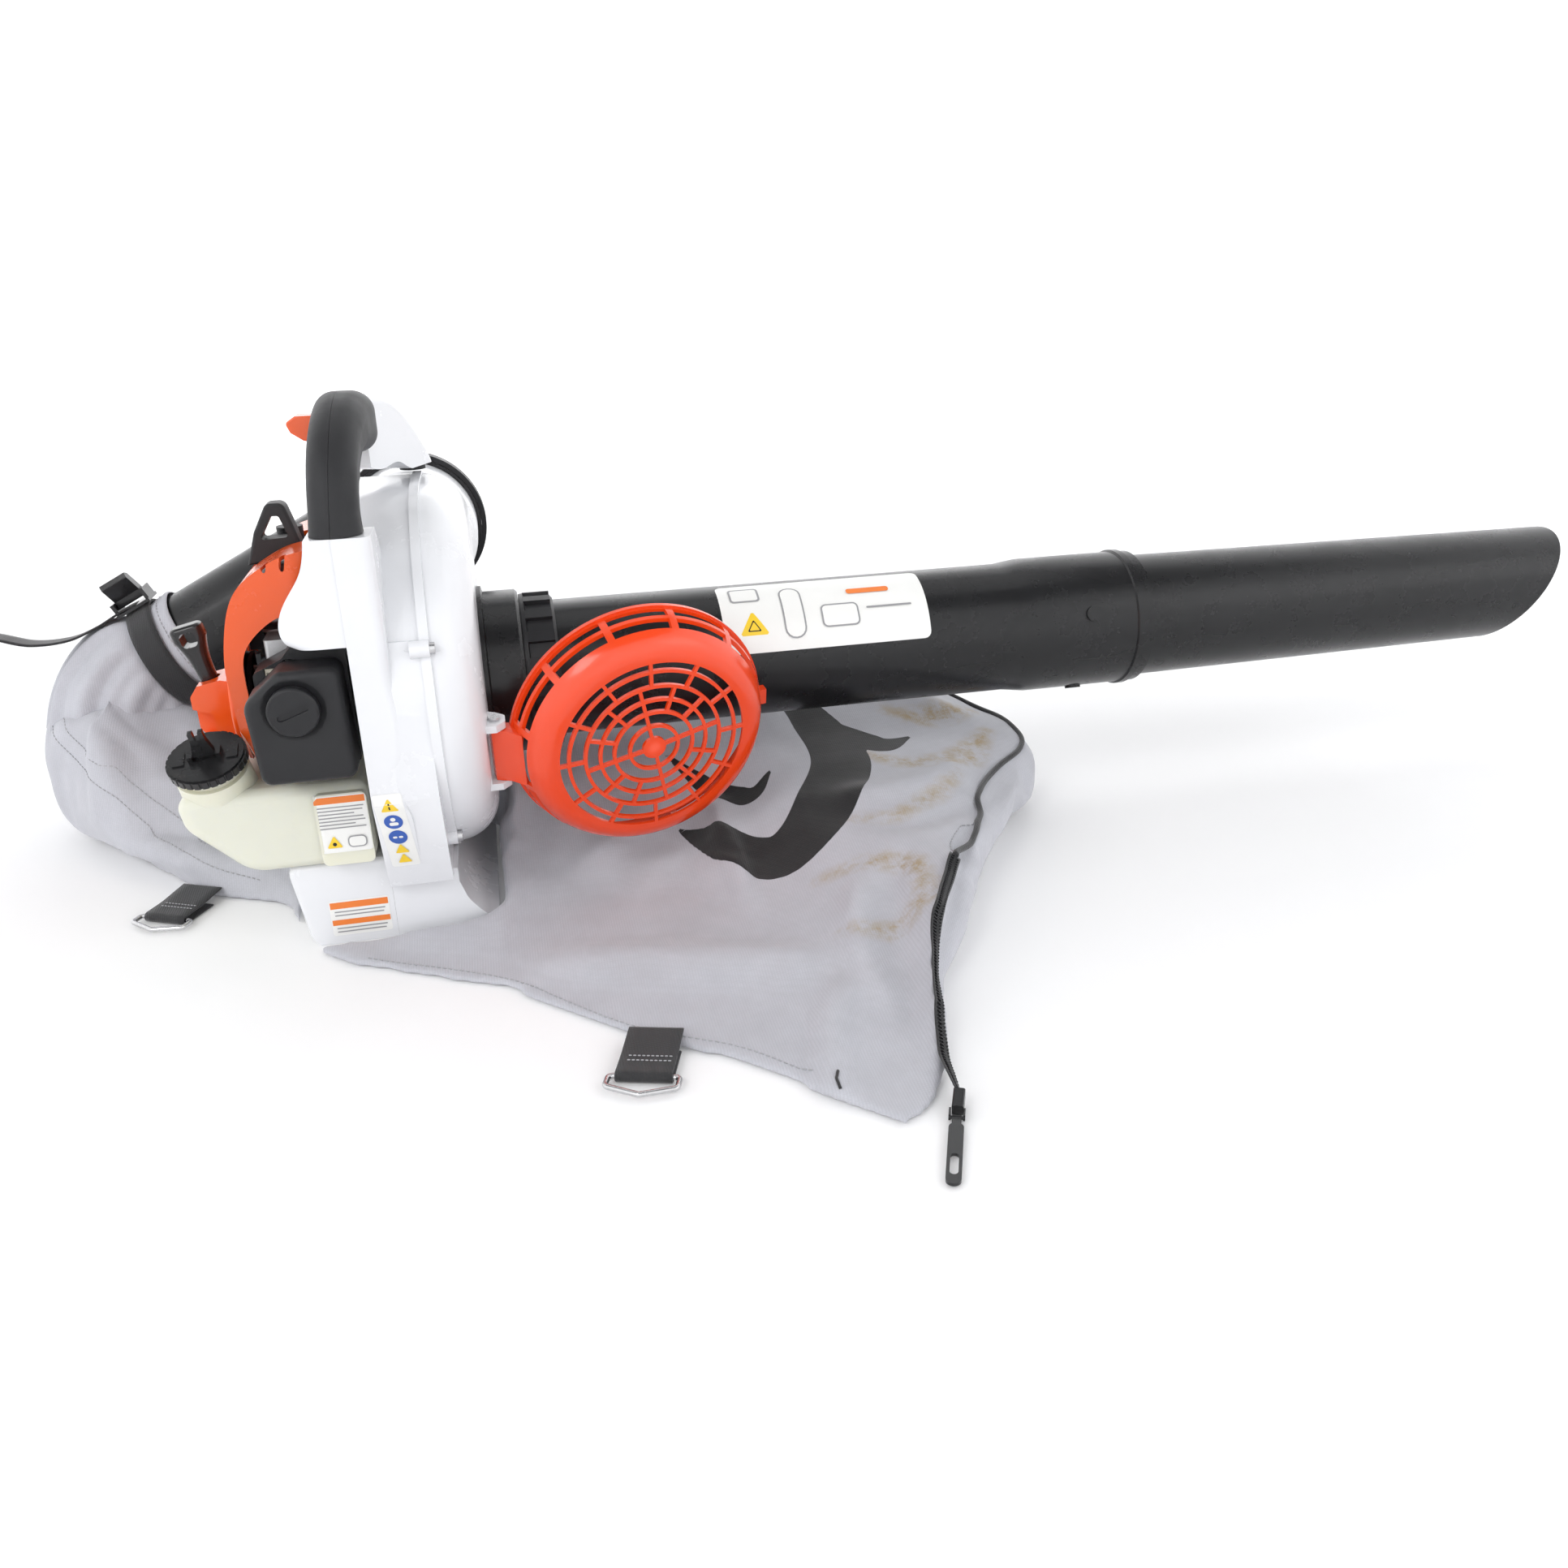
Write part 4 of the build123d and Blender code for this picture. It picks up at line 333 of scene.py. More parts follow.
def crease_shading(node):
    """Smooth shading that keeps the moulded edges, on a carried-over node."""
    smooth_faces(node.data)
    weld = node.modifiers.new("weld", "WELD")
    weld.merge_threshold = WELD_DISTANCE
    crease = node.modifiers.new("crease", "EDGE_SPLIT")
    crease.split_angle = CREASE_ANGLE
    crease.use_edge_sharp = False


for node in nodes.values():
    crease_shading(node)


# ------------------------------------------------------------ mesh helpers
def add_object(name, mesh, material=None, smooth=True):
    made = bpy.data.objects.new(name, mesh)
    scene.collection.objects.link(made)
    if material is not None:
        mesh.materials.append(material.material)
    smooth_faces(mesh, smooth)
    return made


def mesh_from(name, points, faces):
    mesh = bpy.data.meshes.new(name)
    mesh.from_pydata([tuple(p) for p in points], [], faces)
    mesh.validate()
    mesh.update()
    return mesh


def outward(mesh):
    """Turns the faces of a tube the same way round."""
    box = bmesh.new()
    box.from_mesh(mesh)
    bmesh.ops.recalc_face_normals(box, faces=box.faces)
    box.to_mesh(mesh)
    box.free()


def measured(line):
    """A line's points as an array, and how far along it each of them lies."""
    run = np.array([tuple(p) for p in line])
    return run, np.concatenate([[0], np.cumsum(np.linalg.norm(np.diff(run, axis=0), axis=1))])


def point_at(run, along, s):
    return Vector([np.interp(s, along, run[:, k]) for k in range(3)])


SPLINE_STEPS = 24


def curve_through(points, count):
    """Evenly spaced points on a Catmull-Rom curve through the given ones."""
    p = [Vector(q) for q in points]
    p = [p[0] * 2 - p[1]] + p + [p[-1] * 2 - p[-2]]
    dense = []
    for a, b, c, d in zip(p, p[1:], p[2:], p[3:]):
        square, cube = a * 2 - b * 5 + c * 4 - d, b * 3 - a - c * 3 + d
        for i in range(SPLINE_STEPS):
            t = i / SPLINE_STEPS
            dense.append(0.5 * (b * 2 + (c - a) * t + square * t * t + cube * t ** 3))
    dense.append(p[-2])
    run, along = measured(dense)
    return [point_at(run, along, s) for s in np.linspace(0, along[-1], count)]


def swept(name, line, section, material, wide=None, closed=False):
    """Closed section (x across, y up) carried along a line; wide gives the across direction."""
    points, faces = [], []
    n, m = len(line), len(section)
    for i, p in enumerate(line):
        along = (line[(i + 1) % n] if closed or i < n - 1 else p) - (line[i - 1] if closed or i else p)
        along.normalize()
        across = wide(i) if callable(wide) else Vector((0, 0, 1)).cross(along)
        across = (across - along * across.dot(along)).normalized()
        up = along.cross(across)
        points += [p + across * x + up * y for x, y in section]
    for i in range(n if closed else n - 1):
        j = (i + 1) % n
        for k in range(m):
            beside = (k + 1) % m
            faces.append((i * m + k, i * m + beside, j * m + beside, j * m + k))
    if not closed:
        faces.append(tuple(range(m))[::-1])
        faces.append(tuple((n - 1) * m + k for k in range(m)))
    mesh = mesh_from(name, points, faces)
    outward(mesh)
    return add_object(name, mesh, material)


BAND_STEPS = (-1, -0.6, -0.2, 0.2, 0.6, 1)
BAND_FLAT = 0.97


def band(width, thick):
    """Flat section of a webbing with slightly pointed edges, as wide and thick as given."""
    half, r = width / 2, thick / 2
    top = [(x * half * BAND_FLAT, r) for x in BAND_STEPS]
    low = [(x * half * BAND_FLAT, -r) for x in BAND_STEPS[::-1]]
    return top + [(half, 0)] + low + [(-half, 0)]


def round_section(radius, count=10):
    return [(radius * math.cos(t), radius * math.sin(t)) for t in np.linspace(0, 2 * math.pi, count, False)]


def tree_of(*names):
    """One search tree over several CAD nodes."""
    box = bmesh.new()
    for name in names:
        box.from_mesh(nodes[name].data)
    tree = BVHTree.FromBMesh(box)
    box.free()
    return tree


def search_tree(mesh):
    box = bmesh.new()
    box.from_mesh(mesh)
    tree = BVHTree.FromBMesh(box)
    box.free()
    return tree


# --------------------------------------------------------------------- bag
HARD = ["foot", "fan_housing_inner", "fan_housing_outer", "fuel_tank", "fuel_cap", "elbow", "bag_sleeve",
        "bag_strap", "upper_suction_tube", "lower_suction_tube", "suction_adapter", "union_nut",
        "intake_screen", "starter_housing", "engine_shroud", "crankcase", "muffler", "muffler_guard",
        "handle_shell", "elbow_clamp", "filter_housing", "cam_buckle"]


def evaluated_mesh(made):
    graph = bpy.context.evaluated_depsgraph_get()
    return bpy.data.meshes.new_from_object(made.evaluated_get(graph))


def applied(made):
    """Gives an object its evaluated mesh and drops its modifiers."""
    mesh = evaluated_mesh(made)
    made.modifiers.clear()
    made.data = mesh
    return mesh


def subdivide_once(made):
    divide = made.modifiers.new("subdivide", "SUBSURF")
    divide.levels = divide.render_levels = 1


def per_vertex(mesh, key):
    flat = np.zeros(len(mesh.vertices) * 3, np.float32)
    mesh.vertices.foreach_get(key, flat)
    return flat.reshape(-1, 3).astype(float)


def coords(mesh):
    return per_vertex(mesh, "co")


def set_coords(mesh, points):
    mesh.vertices.foreach_set("co", points.astype(np.float32).ravel())
    mesh.update()


def normals(mesh):
    return per_vertex(mesh, "normal")


def edge_pairs(mesh):
    flat = np.zeros(len(mesh.edges) * 2, np.int32)
    mesh.edges.foreach_get("vertices", flat)
    return flat.reshape(-1, 2)


RELAX_STEP = 0.6


def relaxed(points, pairs, rounds, hold):
    """Laplacian smoothing; hold is 0 for a free point and 1 for a fixed one."""
    count = np.bincount(pairs.ravel(), minlength=len(points)).astype(float)[:, None]
    free = (1 - hold)[:, None]
    for _ in range(rounds):
        total = np.zeros_like(points)
        np.add.at(total, pairs[:, 0], points[pairs[:, 1]])
        np.add.at(total, pairs[:, 1], points[pairs[:, 0]])
        points = points + RELAX_STEP * free * (total / np.maximum(count, 1) - points)
    return points


GAP = 0.0012        # kept between the bag and the machine
RAY_START = 0.0005  # how far behind a point its ray starts


def held_back(start, wanted, tree):
    """Moves points from start towards wanted, stopping short of the machine by GAP."""
    made = wanted.copy()
    step = wanted - start
    size = np.linalg.norm(step, axis=1)
    for i in np.nonzero(size > 1e-6)[0]:
        way = Vector(step[i] / size[i])
        hit = tree.ray_cast(Vector(start[i]) - way * RAY_START, way, size[i] + GAP + RAY_START)
        if hit[0] is not None:
            made[i] = start[i] + np.array(way) * max(0.0, min(size[i], hit[3] - GAP - RAY_START))
    return made


FAR = 1e9
TINY = 1e-12


def to_segment(points, a, b):
    """How far along a to b each point lies, from 0 to 1, and its distance from there."""
    d = b - a
    t = np.clip(((points - a) @ d) / max(d @ d, TINY), 0, 1)
    return t, np.linalg.norm(points - a - t[:, None] * d, axis=1)


def flat_run(line, count):
    """Evenly spaced x, y points on a curve through the line's x, y points."""
    return np.array([tuple(p)[:2] for p in curve_through([(x, y, 0) for x, y in line], count)])


def ridge(points, line, width, height):
    """Height field of a soft fold that follows a line given in x, y."""
    run = flat_run(line, 40)
    best = np.full(len(points), FAR)
    share = np.zeros(len(points))
    for i, (a, b) in enumerate(zip(run, run[1:])):
        t, off = to_segment(points[:, :2], a, b)
        near = off < best
        best[near] = off[near]
        share[near] = ((i + t) / (len(run) - 1))[near]
    taper = np.clip(np.sin(np.pi * np.clip(share, 0.02, 0.98)) * 1.6, 0, 1)
    return height * taper * np.exp(-((best / width) ** 2))


# Each fold: its line in x, y, its width and its height, negative for a valley.
FOLDS = (
    (((0.080, -0.170), (0.165, -0.185), (0.250, -0.215), (0.300, -0.215)), 0.022, 0.0065),
    (((0.070, -0.205), (0.136, -0.250), (0.200, -0.270), (0.250, -0.262)), 0.016, -0.0055),
    (((0.085, -0.120), (0.130, -0.090), (0.185, -0.050), (0.250, -0.030)), 0.020, -0.0060),
    (((0.283, -0.235), (0.256, -0.290), (0.246, -0.340), (0.250, -0.372)), 0.012, 0.0065),
    (((0.262, -0.235), (0.236, -0.285), (0.226, -0.325), (0.224, -0.350)), 0.011, -0.0050),
    (((0.318, -0.140), (0.300, -0.190), (0.293, -0.240), (0.300, -0.300)), 0.010, 0.0045),
    (((0.350, -0.140), (0.330, -0.175), (0.312, -0.240), (0.312, -0.300)), 0.009, -0.0040),
    (((0.300, -0.060), (0.350, -0.070), (0.400, -0.055), (0.440, -0.020)), 0.014, 0.0050),
    (((0.330, -0.110), (0.370, -0.115), (0.400, -0.100), (0.420, -0.080)), 0.010, -0.0040),
    (((0.300, 0.060), (0.360, 0.090), (0.420, 0.070), (0.470, 0.040)), 0.016, 0.0045),
    (((0.100, 0.150), (0.180, 0.175), (0.260, 0.160), (0.340, 0.165)), 0.018, 0.0050),
    (((0.090, 0.230), (0.180, 0.225), (0.260, 0.235), (0.340, 0.215)), 0.014, -0.0045),
    (((-0.262, 0.175), (-0.250, 0.140), (-0.225, 0.110), (-0.195, 0.090)), 0.010, 0.0060),
    (((-0.275, 0.190), (-0.240, 0.165), (-0.205, 0.140), (-0.170, 0.110)), 0.009, -0.0050),
    (((-0.220, 0.130), (-0.200, 0.080), (-0.170, 0.040), (-0.130, 0.015)), 0.010, 0.0050),
    (((-0.200, 0.200), (-0.150, 0.150), (-0.110, 0.130), (-0.060, 0.125)), 0.012, 0.0050),
    (((-0.180, 0.250), (-0.120, 0.220), (-0.060, 0.210), (0.010, 0.215)), 0.013, -0.0045),
)
# Each stroke: its line in x, y, and its half width along it.
PRINTS = (
    (((0.205, -0.041), (0.237, -0.079), (0.267, -0.100), (0.300, -0.083), (0.335, -0.022),
      (0.328, 0.040), (0.302, 0.090), (0.288, 0.125)),
     (0.001, 0.016, 0.021, 0.024, 0.023, 0.020, 0.012, 0.001)),
    (((0.316, 0.058), (0.345, 0.024), (0.374, 0.002), (0.402, 0.014)), (0.001, 0.011, 0.013, 0.001)),
    (((0.205, 0.010), (0.235, -0.020), (0.262, -0.035), (0.280, -0.020)), (0.001, 0.006, 0.008, 0.001)),
)
TANS = (
    (((0.345, 0.000), (0.380, -0.026), (0.430, -0.022), (0.470, 0.022)), (0.003, 0.009, 0.013, 0.004)),
    (((0.285, -0.140), (0.326, -0.147), (0.348, -0.172), (0.340, -0.205)), (0.001, 0.006, 0.008, 0.002)),
    (((0.285, -0.205), (0.310, -0.215), (0.335, -0.214), (0.350, -0.195)), (0.001, 0.006, 0.010, 0.003)),
    (((0.317, -0.092), (0.352, -0.102), (0.395, -0.078), (0.420, -0.050)), (0.001, 0.004, 0.005, 0.002)),
    (((0.390, 0.052), (0.420, 0.040), (0.450, 0.050), (0.470, 0.060)), (0.002, 0.010, 0.012, 0.004)),
)


STROKE_STEPS = 60


def painted(points, strokes, soft):
    """Share of ink at each point from strokes with a changing half width."""
    ink = np.zeros(len(points))
    for line, widths in strokes:
        run = flat_run(line, STROKE_STEPS)
        wide = np.interp(np.linspace(0, 1, STROKE_STEPS), np.linspace(0, 1, len(widths)), widths)
        reach = np.full(len(points), -FAR)
        for i, (a, b) in enumerate(zip(run, run[1:])):
            t, off = to_segment(points[:, :2], a, b)
            reach = np.maximum(reach, wide[i] + (wide[i + 1] - wide[i]) * t - off)
        ink = np.maximum(ink, np.clip(0.5 + reach / soft, 0, 1))
    return ink


CLOTH_FRAMES = 16
PINNED, HALF_PINNED = 1.0, 0.6


def simulate(made, hold):
    """Short cloth run that lets the slack cloth buckle; the pinned points stay."""
    group = made.vertex_groups.new(name="held")
    for level in (PINNED, HALF_PINNED):
        chosen = np.nonzero(np.abs(hold - level) < 0.01)[0].tolist()
        group.add(chosen, level, "REPLACE")
    modifier = made.modifiers.new("cloth", "CLOTH")
    settings = modifier.settings
    settings.quality = 5
    settings.mass = 0.12
    settings.tension_stiffness = settings.compression_stiffness = 14
    settings.shear_stiffness = 4
    settings.bending_stiffness = 0.08
    settings.air_damping = 2
    settings.shrink_min = -0.045
    settings.use_pressure = True
    settings.uniform_pressure_force = 1.2
    settings.vertex_group_mass = "held"
    settings.effector_weights.gravity = 0.15
    modifier.collision_settings.use_collision = False
    modifier.point_cache.frame_start, modifier.point_cache.frame_end = 1, CLOTH_FRAMES
    for number in range(1, CLOTH_FRAMES + 1):
        scene.frame_set(number)
    done = coords(evaluated_mesh(made))
    made.modifiers.remove(modifier)
    scene.frame_set(1)
    return done


# The zip's route, from the slider at the bag's front corner upwards, as in part.py.
ZIP_LINE = ((0.306, -0.372, 0.007), (0.329, -0.322, 0.029), (0.349, -0.252, 0.058), (0.383, -0.186, 0.066))


def near_line(points, line, reach):
    """1 on the line, falling softly to 0 away from it."""
    best = np.full(len(points), FAR)
    for a, b in zip(np.array(line), np.array(line[1:])):
        best = np.minimum(best, to_segment(points, a, b)[1])
    return np.exp(-((best / reach) ** 2))


VOXEL = 0.0062
CLOTH_CAP = 0.013    # the furthest that the cloth run may move a point
ZIP_REACH = 0.013
UNDER_TUBES = ((0.070, -0.145), (0.300, -0.02))
ATTRIBUTES = (("print", PRINTS, 0.006), ("tan", TANS, 0.012))


def build_bag():
    """The CAD bag remeshed, relaxed, slackened by a cloth run and folded."""
    source = nodes["bag"].data.copy()
    box = bmesh.new()
    box.from_mesh(source)
    bmesh.ops.remove_doubles(box, verts=box.verts, dist=0.00002)
    box.to_mesh(source)
    box.free()
    made = add_object("catcher_bag", source)
    remesh = made.modifiers.new("remesh", "REMESH")
    remesh.mode = "VOXEL"
    remesh.voxel_size = VOXEL
    mesh = applied(made)
    start = coords(mesh)
    pairs = edge_pairs(mesh)
    tree = tree_of(*HARD)
    floor = start[:, 2] < 0.004
    edge = near_line(start, ZIP_LINE, ZIP_REACH)
    smooth = relaxed(start, pairs, 14, np.maximum(np.where(floor, 0.75, 0.0), edge))
    facing_z = normals(mesh)[:, 2]
    lowest = np.where(facing_z > 0.05, 0.0045, 0.0006)
    highest = np.where((facing_z < -0.5) & (start[:, 2] < 0.004), 0.0010, 1.0)
    smooth[:, 2] = np.clip(smooth[:, 2], lowest, highest)
    smooth = held_back(start, smooth, tree)
    set_coords(mesh, smooth)
    base = smooth
    near = np.array([tree.find_nearest(Vector(p), 0.012)[3] is not None for p in base])
    hold = np.where(base[:, 2] < 0.003, PINNED, np.where(near, HALF_PINNED, 0.0))
    step = simulate(made, hold) - base
    size = np.linalg.norm(step, axis=1)
    step *= (np.minimum(size, CLOTH_CAP * (1 - edge)) / np.maximum(size, 1e-9))[:, None]
    step *= np.clip((base[:, 2] - 0.003) / 0.020, 0, 1)[:, None]
    base = base + step
    set_coords(mesh, base)
    up = normals(mesh)
    top = np.clip(up[:, 2] * 1.6 + 0.1, 0, 1)
    lift = np.zeros(len(base))
    for line, width, height in FOLDS:
        lift += ridge(base, line, width, height * 1.5) * top
    small = np.array([noise.noise(Vector((p[0] * 16, p[1] * 16, p[2] * 22))) for p in base])
    tiny = np.array([noise.noise(Vector((p[0] * 41 + 7, p[1] * 41, p[2] * 50))) for p in base])
    side = base[:, 2] > 0.004
    lift += (small * 0.0026 + tiny * 0.0011) * side
    lift = np.where(lift < 0, lift * np.clip((base[:, 2] - 0.008) / 0.022, 0, 1), lift)
    wanted = base + up * (lift * (1 - edge))[:, None]
    wanted = relaxed(wanted, pairs, 1, np.zeros(len(base)))
    corner, opposite = UNDER_TUBES
    under = np.all((wanted[:, :2] > corner) & (wanted[:, :2] < opposite), axis=1)
    wanted[under, 2] = np.minimum(wanted[under, 2], start[under, 2] + 0.001)
    wanted[:, 2] = np.clip(wanted[:, 2], lowest, highest)
    low = np.array(cad_low) - 0.004
    high = np.array(cad_high) + 0.004
    wanted = np.clip(wanted, low, high)
    set_coords(mesh, held_back(start, wanted, tree))
    subdivide_once(made)
    fine = applied(made)
    fine.materials.clear()
    fine.materials.append(cloth.material)
    smooth_faces(fine)
    points = coords(fine)
    upper = points[:, 2] > 0.012
    for name, strokes, soft in ATTRIBUTES:
        attribute = fine.attributes.new(name, "FLOAT", "POINT")
        attribute.data.foreach_set("value", (painted(points, strokes, soft) * upper).astype(np.float32))
    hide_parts("bag")
    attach(made, "machine")
    return made


bag = build_bag()


bag_tree = search_tree(bag.data)


def on_bag(points, count, lift):
    """Points of a curve laid on the bag's surface."""
    laid = []
    for p in curve_through(points, count):
        at, normal, _, _ = bag_tree.find_nearest(p)
        laid.append(at + normal * lift)
    return laid


def evened(line, rounds=2):
    for _ in range(rounds):
        line = [line[0]] + [(a + b * 2 + c) / 4 for a, b, c in zip(line, line[1:], line[2:])] + [line[-1]]
    return line


STITCH = (0.0042, 0.0028, 0.00045)       # pitch, length and radius
LOOP_STITCH = (0.0026, 0.0018, 0.0004)
SIDES = 6


def dashes(name, line, pitch, length, radius, material):
    """Row of stitches along a line."""
    run, along = measured(line)
    points, faces = [], []
    for s in np.arange(pitch, along[-1] - length, pitch):
        a = point_at(run, along, s)
        b = point_at(run, along, s + length)
        way = (b - a).normalized()
        across = way.orthogonal().normalized()
        up = way.cross(across)
        start = len(points)
        rings = ((a, 0.45), (a + way * radius, 1.0), (b - way * radius, 1.0), (b, 0.45))
        for centre, share in rings:
            for t in range(SIDES):
                angle = t * math.pi / 3
                points.append(centre + (across * math.cos(angle) + up * math.sin(angle)) * radius * share)
        for i in range(len(rings) - 1):
            ring = start + i * SIDES
            for k in range(SIDES):
                beside = (k + 1) % SIDES
                faces.append((ring + k, ring + beside, ring + SIDES + beside, ring + SIDES + k))
        faces.append(tuple(start + k for k in range(SIDES))[::-1])
        faces.append(tuple(start + (len(rings) - 1) * SIDES + k for k in range(SIDES)))
    return add_object(name, mesh_from(name, points, faces), material)


def finish_soft(made):
    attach(made, "machine")


# ------------------------------------------------------- zip and its teeth
TOOTH_PITCH = 0.00125
TOOTH_HALF = (0.0021, 0.00042, 0.0009)    # across the zip, along it and out of the cloth
TOOTH_STAGGER = 0.0009
BOX_FACES = ((0, 1, 2, 3), (7, 6, 5, 4), (0, 4, 5, 1), (1, 5, 6, 2), (2, 6, 7, 3), (3, 7, 4, 0))


def build_zip():
    """Tape and teeth, from the slider's straight start to the bag's surface."""
    line = []
    for a, b in zip(ZIP_LINE, ZIP_LINE[1:]):
        a, b = Vector(a), Vector(b)
        steps = max(2, round((b - a).length / 0.004))
        line += [a + (b - a) * (i / steps) for i in range(steps)]
    line.append(Vector(ZIP_LINE[-1]))
    soft = evened(line, 2)
    flat, wide = [], []
    for number, p in enumerate(soft):
        at, normal, _, _ = bag_tree.find_nearest(p)
        share = min(1.0, number / 8)
        soft[number] = p.lerp(at + normal * 0.0012, share)
        flat.append(p.lerp(at + normal * 0.0003, share))
        wide.append(normal.copy())
    soft, flat, wide = evened(soft, 4), evened(flat, 4), evened(wide, 10)
    ways = [b - a for a, b in zip(soft, soft[1:])]
    ways.append(ways[-1])
    across = [way.cross(normal).normalized() for way, normal in zip(ways, wide)]
    finish_soft(swept("zip_tape", flat, band(0.0095, 0.0009), webbing, lambda i: across[i]))
    points, faces = [], []
    run, along = measured(soft)
    half_across, half_along, half_out = TOOTH_HALF
    for number, s in enumerate(np.arange(0.001, along[-1] - 0.001, TOOTH_PITCH)):
        p = point_at(run, along, s)
        q = point_at(run, along, s + 0.001)
        way = (q - p).normalized()
        facing_out = wide[min(len(wide) - 1, int(s / along[-1] * len(wide)))]
        sideways = way.cross(facing_out).normalized()
        out = sideways.cross(way)
        side = TOOTH_STAGGER if number % 2 else -TOOTH_STAGGER
        start = len(points)
        for dw in (-half_along, half_along):
            for a, o in ((-1, -1), (1, -1), (1, 1), (-1, 1)):
                points.append(p + way * dw + sideways * (a * half_across + side) + out * (o * half_out))
        for quad in BOX_FACES:
            faces.append(tuple(start + k for k in quad))
    teeth = add_object("zip_teeth", mesh_from("zip_teeth", points, faces), satin, smooth=False)
    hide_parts("zipper")
    finish_soft(teeth)


build_zip()

# ------------------------------------------- piping, seams and stitch lines
PIPING = ((0.383, -0.186, 0.066), (0.420, -0.110, 0.068), (0.455, -0.048, 0.066), (0.484, -0.020, 0.066),
          (0.506, 0.004, 0.066), (0.504, 0.045, 0.074), (0.480, 0.090, 0.084), (0.440, 0.125, 0.092))
finish_soft(swept("end_piping", evened(on_bag(PIPING, 70, 0.0008), 3), round_section(0.0022), webbing))
ARC = ((0.2485, -0.340, 0.04), (0.2455, -0.348, 0.03), (0.2445, -0.357, 0.025))
finish_soft(swept("corner_bartack", evened(on_bag(ARC, 14, 0.0004), 1), round_section(0.0009, 8), webbing))
SEAMS = (
    ((-0.276, 0.176, 0.105), (-0.258, 0.142, 0.085), (-0.222, 0.095, 0.066), (-0.182, 0.055, 0.045),
     (-0.140, 0.018, 0.025), (-0.100, -0.004, 0.016)),
    ((-0.268, 0.186, 0.114), (-0.250, 0.152, 0.096), (-0.214, 0.105, 0.078), (-0.172, 0.066, 0.055),
     (-0.130, 0.030, 0.034), (-0.092, 0.010, 0.024)),
    ((-0.020, -0.125, 0.008), (0.069, -0.176, 0.010), (0.142, -0.252, 0.010), (0.201, -0.292, 0.010),
     (0.236, -0.330, 0.010)),
    ((0.320, -0.300, 0.040), (0.338, -0.244, 0.064), (0.372, -0.180, 0.072), (0.420, -0.105, 0.074),
     (0.462, -0.045, 0.074)),
)
thread = moulded("thread_grey", (0.40, 0.40, 0.42), 0.7, 2500, 0.0001, vary=0.1)
for number, seam in enumerate(SEAMS):
    stitched = evened(on_bag(seam, 150, 0.0003))
    finish_soft(dashes(f"bag_stitches_{number}", stitched, *STITCH, thread))

# ------------------------------------------------------------------ sleeve
RUN_DIR = Vector((-0.89, 0, -0.456)).normalized()
SLEEVE_START = Vector((-0.15446, 0.208, 0.14642))
SLEEVE_UP = Vector((-0.456, 0, 0.89)).normalized()
SLEEVE_SIDE = Vector((0, 1, 0))


def around(t, radius, angle):
    """Point round the sleeve's axis, t along it; angle 0 is the upper side."""
    return SLEEVE_START + RUN_DIR * t + (SLEEVE_UP * math.cos(angle) + SLEEVE_SIDE * math.sin(angle)) * radius


def sleeve_axis():
    """Centres and radii of the sleeve: straight over the elbow, then sinking into the bag."""
    rows = [(around(t, 0, 0), r) for t, r in (
        (-0.0020, 0.0412), (-0.0010, 0.0424), (0.0005, 0.0424), (0.0020, 0.0416), (0.0080, 0.0425),
        (0.0115, 0.0414), (0.0130, 0.0410), (0.0200, 0.0409), (0.0280, 0.0409), (0.0335, 0.0410),
        (0.0355, 0.0420), (0.0390, 0.0450))]
    for x, y, z, r in (
        (-0.1950, 0.2075, 0.1250, 0.0475), (-0.2010, 0.2065, 0.1205, 0.0492),
        (-0.2075, 0.2050, 0.1140, 0.0505), (-0.2135, 0.2030, 0.1060, 0.0518),
        (-0.2180, 0.2010, 0.0970, 0.0530), (-0.2210, 0.1990, 0.0870, 0.0540),
        (-0.2225, 0.1970, 0.0770, 0.0545)):
        rows.append((Vector((x, y, z)), r))
    return rows


ROUND_STEPS = 160


def build_sleeve():
    """Cloth sleeve: flat over the elbow, pleated where it gathers into the bag."""
    rows = sleeve_axis()
    points, faces = [], []
    for i, (centre, radius) in enumerate(rows):
        way = (rows[min(i + 1, len(rows) - 1)][0] - rows[max(i - 1, 0)][0]).normalized()
        upward = (SLEEVE_UP - way * SLEEVE_UP.dot(way)).normalized()
        sideways = way.cross(upward)
        if sideways.dot(SLEEVE_SIDE) < 0:
            sideways = -sideways
        slack = min(1.0, max(0.0, (i - 9.5) / 4))
        for k in range(ROUND_STEPS):
            angle = 2 * math.pi * k / ROUND_STEPS
            wide = 0.0024 * math.sin(angle * 11 + 1.7 * math.sin(angle * 2))
            pleat = wide + 0.0013 * math.sin(angle * 19 + 0.6)
            mouth = 0.0005 * math.sin(angle * 7 + 0.4) + 0.0005 if i < 4 else 0.0
            r = radius + slack * pleat + mouth
            points.append(centre + (upward * math.cos(angle) + sideways * math.sin(angle)) * r)
    for i in range(len(rows) - 1):
        a, b = i * ROUND_STEPS, (i + 1) * ROUND_STEPS
        for k in range(ROUND_STEPS):
            beside = (k + 1) % ROUND_STEPS
            faces.append((a + k, a + beside, b + beside, b + k))
    mesh = mesh_from("sleeve_cloth", points, faces)
    outward(mesh)
    made = add_object("sleeve_cloth", mesh, cloth)
    subdivide_once(made)
    thick = made.modifiers.new("thickness", "SOLIDIFY")
    thick.thickness = 0.0009
    thick.offset = 1.0
    smooth_faces(applied(made))
    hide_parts("bag_sleeve")
    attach(made, "machine")


build_sleeve()
stitch_ring = [around(0.0062, 0.0436, 2 * math.pi * k / ROUND_STEPS) for k in range(ROUND_STEPS + 1)]
finish_soft(dashes("sleeve_hem_stitches", stitch_ring, *STITCH, thread))


